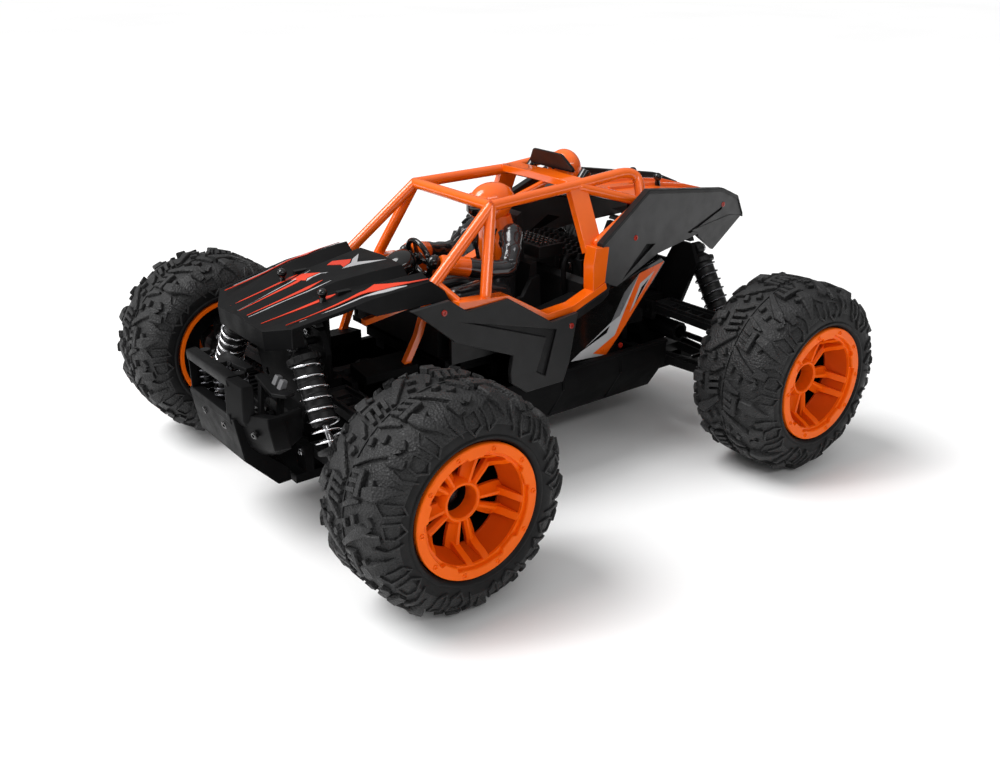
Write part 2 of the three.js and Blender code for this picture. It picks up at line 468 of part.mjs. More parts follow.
function add(parent, name, made, material) {
  const mesh = new THREE.Mesh(made.isBufferGeometry ? made : geometryOf(made), material);
  mesh.name = name;
  parent.add(mesh);
  return mesh;
}

const shared = {
  tyre: geometryOf(tyre()), rim: geometryOf(rim()), lower: geometryOf(lowerArm()), upper: geometryOf(upperArm()),
  frontCarrier: geometryOf(frontCarrier()), knuckle: geometryOf(steeringKnuckle()), rearCarrier: geometryOf(rearCarrier()),
  shaft: geometryOf(driveShaft()), body: geometryOf(shockBody()), rod: geometryOf(shockShaft()), spring: geometryOf(coilSpring()),
  tie: geometryOf(tieRod()),
};

for (const [end, endName] of [[1, 'front'], [-1, 'rear']]) {
  for (const [side, sideName] of [[1, 'left'], [-1, 'right']]) {
    const corner = new THREE.Group();
    corner.scale.set(end, side, 1);
    truck.add(corner);
    const put = (name, made, material) => add(corner, `${endName}_${sideName}_${name}`, made, material);
    for (const name of ['tyre', 'rim']) {
      put(name, shared[name], name === 'tyre' ? rubber : orange).position.set(AXLE_X, WHEEL_Y, WHEEL_R);
    }
    put('lower_arm', shared.lower, chassisBlack);
    put('upper_arm', shared.upper, chassisBlack);
    put('hub_carrier', end > 0 ? shared.frontCarrier : shared.rearCarrier, chassisBlack);
    put('drive_shaft', shared.shaft, steel);
    if (end > 0) {
      put('steering_knuckle', shared.knuckle, chassisBlack);
      put('tie_rod', shared.tie, steel);
    }
    const shock = new THREE.Group();
    shock.position.set(SHOCK_X, ...SHOCK_TOP);
    shock.rotation.x = SHOCK_LEAN;
    corner.add(shock);
    add(shock, `${endName}_${sideName}_shock_body`, shared.body, chassisBlack);
    add(shock, `${endName}_${sideName}_shock_shaft`, shared.rod, steel);
    add(shock, `${endName}_${sideName}_shock_spring`, shared.spring, springSteel);
  }
  const half = new THREE.Group();
  half.scale.x = end;
  truck.add(half);
  add(half, `${endName}_gear_case`, gearCase(), chassisBlack);
}

add(truck, 'chassis_tray', chassisTray(), chassisBlack);
add(truck, 'battery_pack', battery(), cellBlue);
add(truck, 'drive_motor', driveMotor(), steel);
add(truck, 'centre_drive_shaft', centreShaft(), steel);
add(truck, 'control_board', controlBoard(), chassisBlack);
add(truck, 'steering_servo', steeringServo(), chassisBlack);
add(truck, 'servo_horn', servoHorn(), chassisBlack);
add(truck, 'steering_link', steeringLink(), steel);
add(truck, 'bonnet', bonnet(), panelBlack);
add(truck, 'roll_cage', rollCage(), orange);
add(truck, 'cockpit_tub', cockpitTub(), chassisBlack);
add(truck, 'driver_figure', driverFigure(), suitGrey);
add(truck, 'roof_pod', roofPod(), orange);
add(truck, 'front_bumper', frontBumper(), chassisBlack);
for (const [side, sideName] of [[1, 'left'], [-1, 'right']]) {
  const half = new THREE.Group();
  half.scale.y = side;
  truck.add(half);
  add(half, `${sideName}_side_panel`, sidePanel(), panelBlack);
  add(half, `${sideName}_quarter_panel`, quarterPanel(), panelBlack);
}

const root = new THREE.Group();
root.add(truck);
export default root;
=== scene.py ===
import math

import bpy
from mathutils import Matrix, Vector


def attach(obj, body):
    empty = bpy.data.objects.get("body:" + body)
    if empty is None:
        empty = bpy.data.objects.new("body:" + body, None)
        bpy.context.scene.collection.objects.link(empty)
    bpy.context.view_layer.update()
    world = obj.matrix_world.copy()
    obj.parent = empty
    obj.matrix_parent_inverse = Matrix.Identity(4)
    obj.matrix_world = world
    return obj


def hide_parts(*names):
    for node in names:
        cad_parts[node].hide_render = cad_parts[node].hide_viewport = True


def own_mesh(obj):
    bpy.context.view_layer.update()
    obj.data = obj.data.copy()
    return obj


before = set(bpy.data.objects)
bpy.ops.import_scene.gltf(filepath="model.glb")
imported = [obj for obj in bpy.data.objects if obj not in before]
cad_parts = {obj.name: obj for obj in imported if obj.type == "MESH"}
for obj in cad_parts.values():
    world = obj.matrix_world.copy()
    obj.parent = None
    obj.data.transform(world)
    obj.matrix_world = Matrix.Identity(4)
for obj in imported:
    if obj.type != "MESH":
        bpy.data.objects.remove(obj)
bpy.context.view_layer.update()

# All shapes are drawn in millimetres from the middle of the wheelbase.
# X is forward, Y is to the truck's left and Z is up.
ORIGIN_X = 3.75
AXLE_X, WHEEL_Y, WHEEL_R = 96.5, 100.5, 45.0
SHOCK_X, SHOCK_TOP, SHOCK_LOW = 113.5, (26.0, 84.0), (54.0, 40.0)
CORNERS = [(e, s, f"{en}_{sn}_")
           for e, en in ((1, "front"), (-1, "rear"))
           for s, sn in ((1, "left"), (-1, "right"))]


# ---------- materials ----------
class Nodes:
    """A material's node tree with short ways to add nodes and links."""

    def __init__(self, name):
        self.mat = bpy.data.materials.new(name)
        self.mat.use_nodes = True
        self.tree = self.mat.node_tree
        self.bsdf = self.tree.nodes["Principled BSDF"]
        self.where = self.tree.nodes.new("ShaderNodeTexCoord").outputs["Object"]

    def add(self, kind, inputs=None, **settings):
        node = self.tree.nodes.new("ShaderNode" + kind)
        for key, value in settings.items():
            setattr(node, key, value)
        for key, value in (inputs or {}).items():
            if isinstance(value, bpy.types.NodeSocket):
                self.tree.links.new(value, node.inputs[key])
            else:
                node.inputs[key].default_value = value
        return node

    def noise(self, scale, detail=2.0):
        return self.add("TexNoise",
                        {"Vector": self.where, "Scale": scale, "Detail": detail,
                         "Roughness": 0.5}).outputs["Fac"]

    def ramp(self, fac, low, high):
        """Spreads the middle of a noise, where most of its values lie, from low to high."""
        out = self.add("MapRange",
                       {"Value": fac, "From Min": 0.35, "From Max": 0.65, "To Min": low, "To Max": high})
        return out.outputs["Result"]

    def tint(self, fac, a, b):
        mix = self.add("Mix", data_type="RGBA")
        mix.inputs["A"].default_value, mix.inputs["B"].default_value = (*a, 1), (*b, 1)
        self.tree.links.new(fac, mix.inputs["Factor"])
        return mix.outputs["Result"]

    def set(self, **sockets):
        for key, value in sockets.items():
            socket = self.bsdf.inputs[key.replace("_", " ")]
            if isinstance(value, bpy.types.NodeSocket):
                self.tree.links.new(value, socket)
            else:
                socket.default_value = value

    def bump(self, height, distance, strength=1.0, under=None):
        node = self.add("Bump", {"Height": height, "Distance": distance, "Strength": strength})
        if under is not None:
            self.tree.links.new(under, node.inputs["Normal"])
        return node.outputs["Normal"]


def moulded(name, dark, light, rough, grain=0.00004, grain_scale=2200, coat=0.0, spread=0.06, gloss=0.3):
    """Moulded plastic: a fine grain, soft colour drift and slightly uneven gloss."""
    m = Nodes(name)
    drift = m.noise(45, 3)
    m.set(Base_Color=m.tint(m.ramp(drift, 0, 1), dark, light),
          Roughness=m.ramp(m.noise(160, 4), rough - spread, rough + spread))
    m.bsdf.inputs["Specular IOR Level"].default_value = gloss
    m.bsdf.inputs["Coat Weight"].default_value = coat
    m.bsdf.inputs["Coat Roughness"].default_value = 0.08
    swell = m.bump(m.noise(90, 1), 0.0002, 0.2)
    m.set(Normal=m.bump(m.noise(grain_scale, 2), grain, 1.0, swell))
    return m.mat


def tread_rubber():
    """Tyre rubber with the fine stipple of its mould."""
    m = Nodes("tread rubber")
    cells = m.add("TexVoronoi", {"Vector": m.where, "Scale": 1100.0}, feature="F1").outputs["Distance"]
    m.set(Base_Color=m.tint(m.ramp(m.noise(60, 4), 0, 1), (0.0135, 0.0135, 0.014), (0.0185, 0.0185, 0.019)),
          Roughness=m.ramp(m.noise(300, 3), 0.48, 0.68))
    m.bsdf.inputs["Specular IOR Level"].default_value = 0.32
    m.set(Normal=m.bump(cells, 0.00034, 1.0))
    return m.mat


def smooth_rubber():
    m = Nodes("smooth rubber")
    m.set(Base_Color=m.tint(m.ramp(m.noise(80, 3), 0, 1), (0.004, 0.004, 0.0043), (0.0075, 0.0075, 0.0078)),
          Roughness=m.ramp(m.noise(300, 3), 0.42, 0.56), Normal=m.bump(m.noise(900, 3), 0.00005))
    m.bsdf.inputs["Specular IOR Level"].default_value = 0.16
    return m.mat


def metal(name, dark, light, rough, brushed=False):
    m = Nodes(name)
    m.set(Base_Color=m.tint(m.ramp(m.noise(120, 3), 0, 1), dark, light), Metallic=1.0,
          Roughness=m.ramp(m.noise(500, 3), rough * 0.75, rough * 1.3))
    lines = m.add("TexNoise",
                  {"Vector": m.add("Mapping", {"Vector": m.where, "Scale": (1, 0.02, 1)}).outputs["Vector"],
                   "Scale": 4000.0}).outputs["Fac"]
    m.set(Normal=m.bump(lines if brushed else m.noise(1800, 2), 0.00003))
    return m.mat


RUBBER, SIDEWALL = tread_rubber(), smooth_rubber()
ORANGE = moulded("orange gloss plastic", (0.86, 0.122, 0.002), (0.93, 0.14, 0.003), 0.2, 0.00001, 900,
                 coat=0.5, gloss=0.5)
RIM_ORANGE = moulded("orange rim plastic", (0.86, 0.122, 0.002), (0.93, 0.14, 0.003), 0.34, 0.00001, 900,
                     coat=0.03, gloss=0.12)
# Painted shade: a darker copy of the rim orange for the steep wall inside the bead ring, where shade falls in
# the recess.
RIM_PAINTED_SHADE = moulded("orange rim recess with painted shade", (0.52, 0.058, 0.001), (0.6, 0.07, 0.0015), 0.4, 0.00001, 900,
                    gloss=0.12)
PANEL = moulded("satin black panel", (0.019, 0.019, 0.0195), (0.0235, 0.0235, 0.024), 0.42, gloss=0.2)
# Painted shade: a darker copy of the satin black panel, for how the light falls on the bonnet and its
# flanges.
BONNET_PAINTED_SHADE = moulded("satin black bonnet with painted shade", (0.0055, 0.0055, 0.0058), (0.008, 0.008, 0.0083), 0.42, gloss=0.08)
# Painted light: a lighter copy of the satin black panel, for how the light falls on the quarter panels.
QUARTER_PAINTED_LIGHT = moulded("satin black quarter panel with painted light", (0.038, 0.038, 0.039), (0.046, 0.046, 0.047), 0.42,
                        gloss=0.24)
# Painted shade: a darker copy of the black moulding, for the shade on the truck's front.
BUMPER_PAINTED_SHADE = moulded("black bumper moulding with painted shade", (0.0035, 0.0035, 0.0037), (0.006, 0.006, 0.0063), 0.42,
                       gloss=0.08)
BLACK = moulded("black moulding", (0.006, 0.006, 0.0063), (0.0105, 0.0105, 0.011), 0.38, gloss=0.2)
# Matte black for dark parts; it is also laid as painted shade inside the rims, on the nose's front face and
# in the panel grooves.
DEEP = moulded("matte black parts and painted shade", (0.0025, 0.0025, 0.0028), (0.0055, 0.0055, 0.0058), 0.5, gloss=0.04)
GLOSS = moulded("gloss black", (0.003, 0.003, 0.003), (0.006, 0.006, 0.006), 0.12, 0.000005, 900, coat=0.3,
                spread=0.03, gloss=0.4)
SUIT = moulded("metallic grey suit", (0.012, 0.012, 0.013), (0.045, 0.045, 0.048), 0.18, 0.00008, 300,
               coat=0.5, gloss=0.5)
SUIT.node_tree.nodes["Principled BSDF"].inputs["Metallic"].default_value = 0.5
STEEL = metal("turned steel", (0.3, 0.3, 0.31), (0.42, 0.42, 0.43), 0.24, brushed=True)
CHROME = metal("bright spring wire", (0.6, 0.6, 0.62), (0.75, 0.75, 0.77), 0.12)
DARK_STEEL = metal("dark spring wire", (0.06, 0.06, 0.065), (0.11, 0.11, 0.12), 0.18)
SHAFT_BLACK = metal("blackened steel", (0.02, 0.02, 0.022), (0.04, 0.04, 0.042), 0.3, brushed=True)
BRAKE_GREY = moulded("light grey plastic", (0.16, 0.16, 0.165), (0.22, 0.22, 0.225), 0.4)
RED_SCREW = moulded("red anodised screw", (0.3, 0.012, 0.006), (0.42, 0.02, 0.008), 0.25, coat=0.4)
DECAL_RED = moulded("red-orange film", (0.62, 0.035, 0.01), (0.74, 0.05, 0.014), 0.32, 0.00001, coat=0.2)
DECAL_WHITE = moulded("silver-white film", (0.36, 0.36, 0.37), (0.5, 0.5, 0.51), 0.32, 0.00001, coat=0.2)
DECAL_GREY = moulded("grey film", (0.1, 0.1, 0.105), (0.16, 0.16, 0.165), 0.32, 0.00001, coat=0.2)
DECAL_ORANGE = moulded("orange film", (0.8, 0.1, 0.003), (0.88, 0.12, 0.005), 0.32, 0.00001, coat=0.2)


# ---------- meshes ----------
class Shape:
    """Closed pieces gathered into one mesh. Points are in millimetres in the truck's frame."""

    def __init__(self, *mats):
        self.verts, self.faces, self.slots, self.mats, self.slot = [], [], [], list(mats), 0

    def add(self, verts, faces, sheet=False):
        """One closed piece, turned to face outwards, or an open sheet that is left as it is."""
        if not sheet:
            volume = 0.0
            for f in faces:
                a = Vector(verts[f[0]])
                volume += sum(a.dot(Vector(verts[p]).cross(Vector(verts[q]))) for p, q in zip(f[1:], f[2:]))
            if volume < 0:
                faces = [f[::-1] for f in faces]
        n = len(self.verts)
        self.verts += [tuple(p) for p in verts]
        self.faces += [[n + i for i in f] for f in faces]
        self.slots += [self.slot] * len(faces)
        return self

    def loft(self, rings, wrap=False):
        """Skin over rings of points; the ends are capped unless the rings wrap round on themselves."""
        m, n = len(rings), len(rings[0])
        faces = []
        for i in range(m if wrap else m - 1):
            for j in range(n):
                a, b = i * n, (i + 1) % m * n
                faces.append([a + j, a + (j + 1) % n, b + (j + 1) % n, b + j])
        if not wrap:
            faces += [list(range(n))[::-1], [(m - 1) * n + j for j in range(n)]]
        return self.add([p for ring in rings for p in ring], faces)

    def box(self, x, y, z):
        ring = [(x[0], y[0]), (x[1], y[0]), (x[1], y[1]), (x[0], y[1])]
        return self.loft([[(u, v, w) for u, v in ring] for w in z])

    def prism(self, axis, outline, start, end):
        """An outline extruded along an axis: x takes (y, z), y takes (x, z) and z takes (x, y)."""
        put = {"x": lambda u, v, w: (w, u, v),
               "y": lambda u, v, w: (u, w, v),
               "z": lambda u, v, w: (u, v, w)}[axis]
        return self.loft([[put(u, v, w) for u, v in outline] for w in (start, end)])

    def tube(self, points, r, sides=14):
        """A round tube through points, with flat ends; r may be a list."""
        pts = [Vector(p) for p in points]
        radii = r if isinstance(r, (list, tuple)) else [r] * len(pts)
        rings, normal = [], None
        for i, p in enumerate(pts):
            along = (pts[min(i + 1, len(pts) - 1)] - pts[max(i - 1, 0)]).normalized()
            if normal is None:
                normal = along.orthogonal().normalized()
            normal = (normal - along * normal.dot(along)).normalized()
            other = along.cross(normal)
            rings.append([p + radii[i] * (math.cos(a) * normal + math.sin(a) * other)
                          for a in (2 * math.pi * k / sides for k in range(sides))])
        return self.loft(rings)

    def frame_tubes(self, points, r, sides=16):
        for a, b in zip(points, points[1:]):
            self.tube([a, b], r, sides)
        for p in points:
            self.ball(p, r, sides, sides // 2)
        return self

    def ball(self, centre, r, wide=16, high=10, stretch=(1, 1, 1)):
        c = Vector(centre)
        ring = lambda t: [c + Vector((r * math.sin(t) * math.cos(a) * stretch[0],
                                      r * math.sin(t) * math.sin(a) * stretch[1],
                                      -r * math.cos(t) * stretch[2]))
                          for a in (2 * math.pi * k / wide for k in range(wide))]
        verts = [p for i in range(1, high) for p in ring(math.pi * i / high)]
        low, top = len(verts), len(verts) + 1
        verts += [c - Vector((0, 0, r * stretch[2])), c + Vector((0, 0, r * stretch[2]))]
        last = (high - 2) * wide
        faces = ([[low, (j + 1) % wide, j] for j in range(wide)]
                 + [[top, last + j, last + (j + 1) % wide] for j in range(wide)])
        faces += [[i * wide + j, i * wide + (j + 1) % wide,
                   (i + 1) * wide + (j + 1) % wide, (i + 1) * wide + j]
                  for i in range(high - 2) for j in range(wide)]
        return self.add(verts, faces)

    def lathe(self, profile, place, sides=48):
        """A closed profile of (radius, station) points turned about an axis.

        place maps (angle, radius, station) to a point.
        """
        rings = [[place(2 * math.pi * i / sides, r, s) for r, s in profile] for i in range(sides)]
        return self.loft(rings, wrap=True)

    def disc(self, place, r, low, high, sides=16):
        """A short cylinder between two stations of place."""
        return self.loft([[place(2 * math.pi * k / sides, r, s) for k in range(sides)] for s in (low, high)])

    def make(self, name, body, slot=None, replaces=(), bevel=0.0, smooth=35, across=(1, 1), thick=0.0):
        """The finished object, riding on its body. across flips it to another corner of the truck."""
        ex, sy = across
        mesh = bpy.data.meshes.new(name)
        mesh.from_pydata([((x * ex + ORIGIN_X) / 1000, y * sy / 1000, z / 1000) for x, y, z in self.verts],
                         [], self.faces)
        for mat in self.mats:
            mesh.materials.append(mat)
        mesh.polygons.foreach_set("material_index", self.slots)
        if ex * sy < 0:
            mesh.flip_normals()
        obj = bpy.data.objects.new(name, mesh)
        bpy.context.scene.collection.objects.link(obj)
        mesh.shade_smooth()
        mesh.set_sharp_from_angle(angle=math.radians(smooth))
        if thick:
            solid = obj.modifiers.new("wall", "SOLIDIFY")
            solid.thickness, solid.offset = thick / 1000, -1
        if bevel:
            soften(obj, bevel, smooth)
        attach(obj, body)
        if replaces:
            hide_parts(*replaces)
        return obj


def soften(obj, width, angle=35):
    """Rounds a piece's moulded edges."""
    mod = obj.modifiers.new("soft edges", "BEVEL")
    mod.width, mod.segments, mod.limit_method = width / 1000, 2, "ANGLE"
    mod.angle_limit = math.radians(angle)
    mod.harden_normals = True


def carve(obj, *cutters):
    """Cuts other pieces out of obj and removes them."""
    for c in cutters:
        mod = obj.modifiers.new("cut", "BOOLEAN")
        mod.object, mod.operation, mod.solver = c, "DIFFERENCE", "EXACT"
        obj.modifiers.move(len(obj.modifiers) - 1, 0)
    keep = [m for m in obj.modifiers if m.type != "BOOLEAN"]
    shown = {m.name: m.show_viewport for m in keep}
    for m in keep:
        m.show_viewport = False
    bpy.context.view_layer.update()
    mesh = bpy.data.meshes.new_from_object(obj.evaluated_get(bpy.context.evaluated_depsgraph_get()))
    for m in list(obj.modifiers):
        if m.type == "BOOLEAN":
            obj.modifiers.remove(m)
        else:
            m.show_viewport = shown[m.name]
    obj.data = mesh
    for c in cutters:
        bpy.data.objects.remove(c)


def cutter(shape, across=(1, 1)):
    mesh = bpy.data.meshes.new("cutter")
    mesh.from_pydata([((x * across[0] + ORIGIN_X) / 1000, y * across[1] / 1000, z / 1000)
                      for x, y, z in shape.verts], [], shape.faces)
    if across[0] * across[1] < 0:
        mesh.flip_normals()
    for mat in shape.mats:
        mesh.materials.append(mat)
    obj = bpy.data.objects.new("cutter", mesh)
    bpy.context.scene.collection.objects.link(obj)
    return obj


def mix(a, b, t):
    return tuple(p + (q - p) * t for p, q in zip(a, b))


# ---------- tyres ----------
CARCASS = [(26.8, 20.4), (28.2, 21.3), (30.4, 21.8), (33.2, 21.7), (36.2, 20.7), (38.8, 18.7), (40.7, 15.6),
           (41.6, 11.6), (42.1, 6.5), (42.3, 0.0)]
TREAD_R = CARCASS[-1][0]


class Surface:
    """The carcass as a surface, in millimetres: u runs round the tread, v across it from the centre seam."""

    def __init__(self):
        self.pts = CARCASS[::-1]
        self.at = [0.0]
        for (r0, s0), (r1, s1) in zip(self.pts, self.pts[1:]):
            self.at.append(self.at[-1] + math.hypot(r1 - r0, s1 - s0))
        self.normals = []
        for i in range(len(self.pts)):
            (r0, s0), (r1, s1) = self.pts[max(i - 1, 0)], self.pts[min(i + 1, len(self.pts) - 1)]
            length = math.hypot(r1 - r0, s1 - s0)
            self.normals.append(((s1 - s0) / length, (r0 - r1) / length))
        self.normals[0] = (1.0, 0.0)

    def __call__(self, u, v, h):
        side, d = (1 if v >= 0 else -1), min(abs(v), self.at[-1] - 1e-6)
        i = max(k for k in range(len(self.at) - 1) if self.at[k] <= d)
        t = (d - self.at[i]) / (self.at[i + 1] - self.at[i])
        r, s = mix(self.pts[i], self.pts[i + 1], t)
        nr, ns = mix(self.normals[i], self.normals[i + 1], t)
        r, s, a = r + nr * h, (s + ns * h) * side, u / TREAD_R
        return (r * math.sin(a), s, r * math.cos(a))


def lug(shape, surface, path, width, height, flip=1, shift=0.0):
    """A raised rubber lug along a path of (u, v) points; width and height may change along it."""
    fine = [path[0]]
    marks = [0.0]
    for k, (a, b) in enumerate(zip(path, path[1:])):
        steps = max(1, int(math.dist(a, b) / 2.2 + 0.5))
        fine += [mix(a, b, i / steps) for i in range(1, steps + 1)]
        marks += [k + i / steps for i in range(1, steps + 1)]
    last = len(path) - 1

    def along(values, mark):
        if not isinstance(values, (list, tuple)):
            return values
        k = min(int(mark), last - 1)
        return values[k] + (values[k + 1] - values[k]) * (mark - k)

    rings = []
    for i, (p, mark) in enumerate(zip(fine, marks)):
        a, b = fine[max(i - 1, 0)], fine[min(i + 1, len(fine) - 1)]
        du, dv = b[0] - a[0], b[1] - a[1]
        length = math.hypot(du, dv)
        side = (-dv / length, du / length)
        w, h = along(width, mark) / 2, along(height, mark)
        ring = []
        for across, up in ((-1.12, -0.5), (-1.0, h * 0.8), (-0.8, h), (0.8, h), (1.0, h * 0.8), (1.12, -0.5)):
            ring.append(surface(p[0] + side[0] * w * across + shift, (p[1] + side[1] * w * across) * flip,
                                up))
        rings.append(ring)
    shape.loft(rings)


PITCHES = 9
PITCH = 2 * math.pi * TREAD_R / PITCHES


def tread_cell(shape, surface, flip, shift):
    """One repeat of the tread on one side of the centre seam."""
    put = lambda path, width, height: lug(shape, surface, path, width, height, flip, shift)
    # Arrow lug pointing at the sidewall, with two teeth beside its shaft.
    put([(13.6, 0.9), (8.6, 6.6), (4.2, 12.2), (2.0, 16.4)], [2.0, 3.0, 4.4, 0.8], [1.6, 1.7, 1.8, 1.0])
    put([(0.0, 7.4), (3.0, 8.4)], [2.2, 1.8], 1.7)
    put([(3.2, 2.6), (6.0, 3.7)], [2.4, 1.8], 1.7)
    # Comb of three bars joined along their outer ends.
    for u in (16.0, 19.2, 22.4):
        put([(u, 1.6), (u - 1.4, 6.6)], [1.7, 1.9], [1.5, 2.3])
    put([(13.6, 7.2), (22.6, 8.2)], [2.2, 2.4], [2.2, 2.4])
    put([(28.4, 1.2), (25.4, 5.6), (24.2, 9.2)], [1.5, 2.4, 1.0], [1.5, 1.8, 1.2])
    # Hooked lug that runs over the shoulder to a point on the sidewall.
    put([(20.4, 10.6), (19.2, 15.0), (16.4, 19.2), (14.4, 23.6)], [3.6, 5.2, 3.0, 0.7], [2.3, 2.8, 1.6, 0.5])
    put([(15.4, 12.2), (18.6, 14.0)], [1.8, 2.2], [1.8, 2.2])
    # Stepped shoulder block between the hooks.
    put([(6.4, 14.6), (5.4, 19.6)], [4.6, 3.4], [2.7, 1.6])
    put([(28.6, 14.2), (30.8, 16.4)], [3.2, 2.0], [2.0, 1.4])
    # Raised outlines on the sidewall.
    put([(0.0, 19.6), (5.4, 20.8), (6.0, 24.6), (2.6, 28.4), (-1.6, 25.8), (0.0, 19.6)], 0.9, 0.85)
    put([(22.6, 16.2), (26.2, 19.4), (23.8, 27.6), (20.0, 25.0), (21.6, 19.0)], 0.9, 0.85)
    put([(10.2, 17.4), (11.4, 21.6), (8.6, 27.4)], [2.6, 1.8, 0.6], [1.6, 1.1, 0.6])


def make_tyre(end, side, name):
    body = name + "wheel"
    surface = Surface()
    place = lambda a, r, s: (AXLE_X + r * math.sin(a), WHEEL_Y + s, WHEEL_R + r * math.cos(a))
    carcass = Shape(RUBBER, SIDEWALL)
    outer = [(r, s) for r, s in CARCASS] + [(r, -s) for r, s in CARCASS[-2::-1]]
    inner = [(26.8, -17.5), (33, -18.6), (38, -14), (39.2, -6), (39.2, 6), (38, 14), (33, 18.6), (26.8, 17.5)]
    carcass.lathe(outer + inner, place, 90)
    count = len(outer + inner)
    for i in range(len(carcass.faces)):
        j = i % count
        if j < 3 or j > len(outer) - 5:
            carcass.slots[i] = 1
    lugs = Shape(RUBBER)
    for k in range(PITCHES):
        for flip in (1, -1):
            tread_cell(lugs, surface, flip, k * PITCH + (0 if flip > 0 else 6.0))
    lug(lugs, surface, [(i * PITCH, 0.0) for i in range(PITCHES + 1)], 0.5, 0.55)
    lugs.verts = [(AXLE_X + x, WHEEL_Y + y, WHEEL_R + z) for x, y, z in lugs.verts]
    # A ring bead next to the rim.
    bead = Shape(SIDEWALL)
    for s in (1, -1):
        bead.lathe([(27.0, s * 20.6), (28.0, s * 21.9), (28.9, s * 22.0), (29.5, s * 21.4),
                    (28.2, s * 20.2)], place, 72)
    carcass.make(name + "tyre_carcass", body, "tyre_rubber", [name + "tyre"], across=(end, side), smooth=50)
    lugs.make(name + "tyre_tread", body, "tyre_rubber", across=(end, side), smooth=24)
    bead.make(name + "tyre_bead", body, "tyre_rubber", across=(end, side), smooth=60)


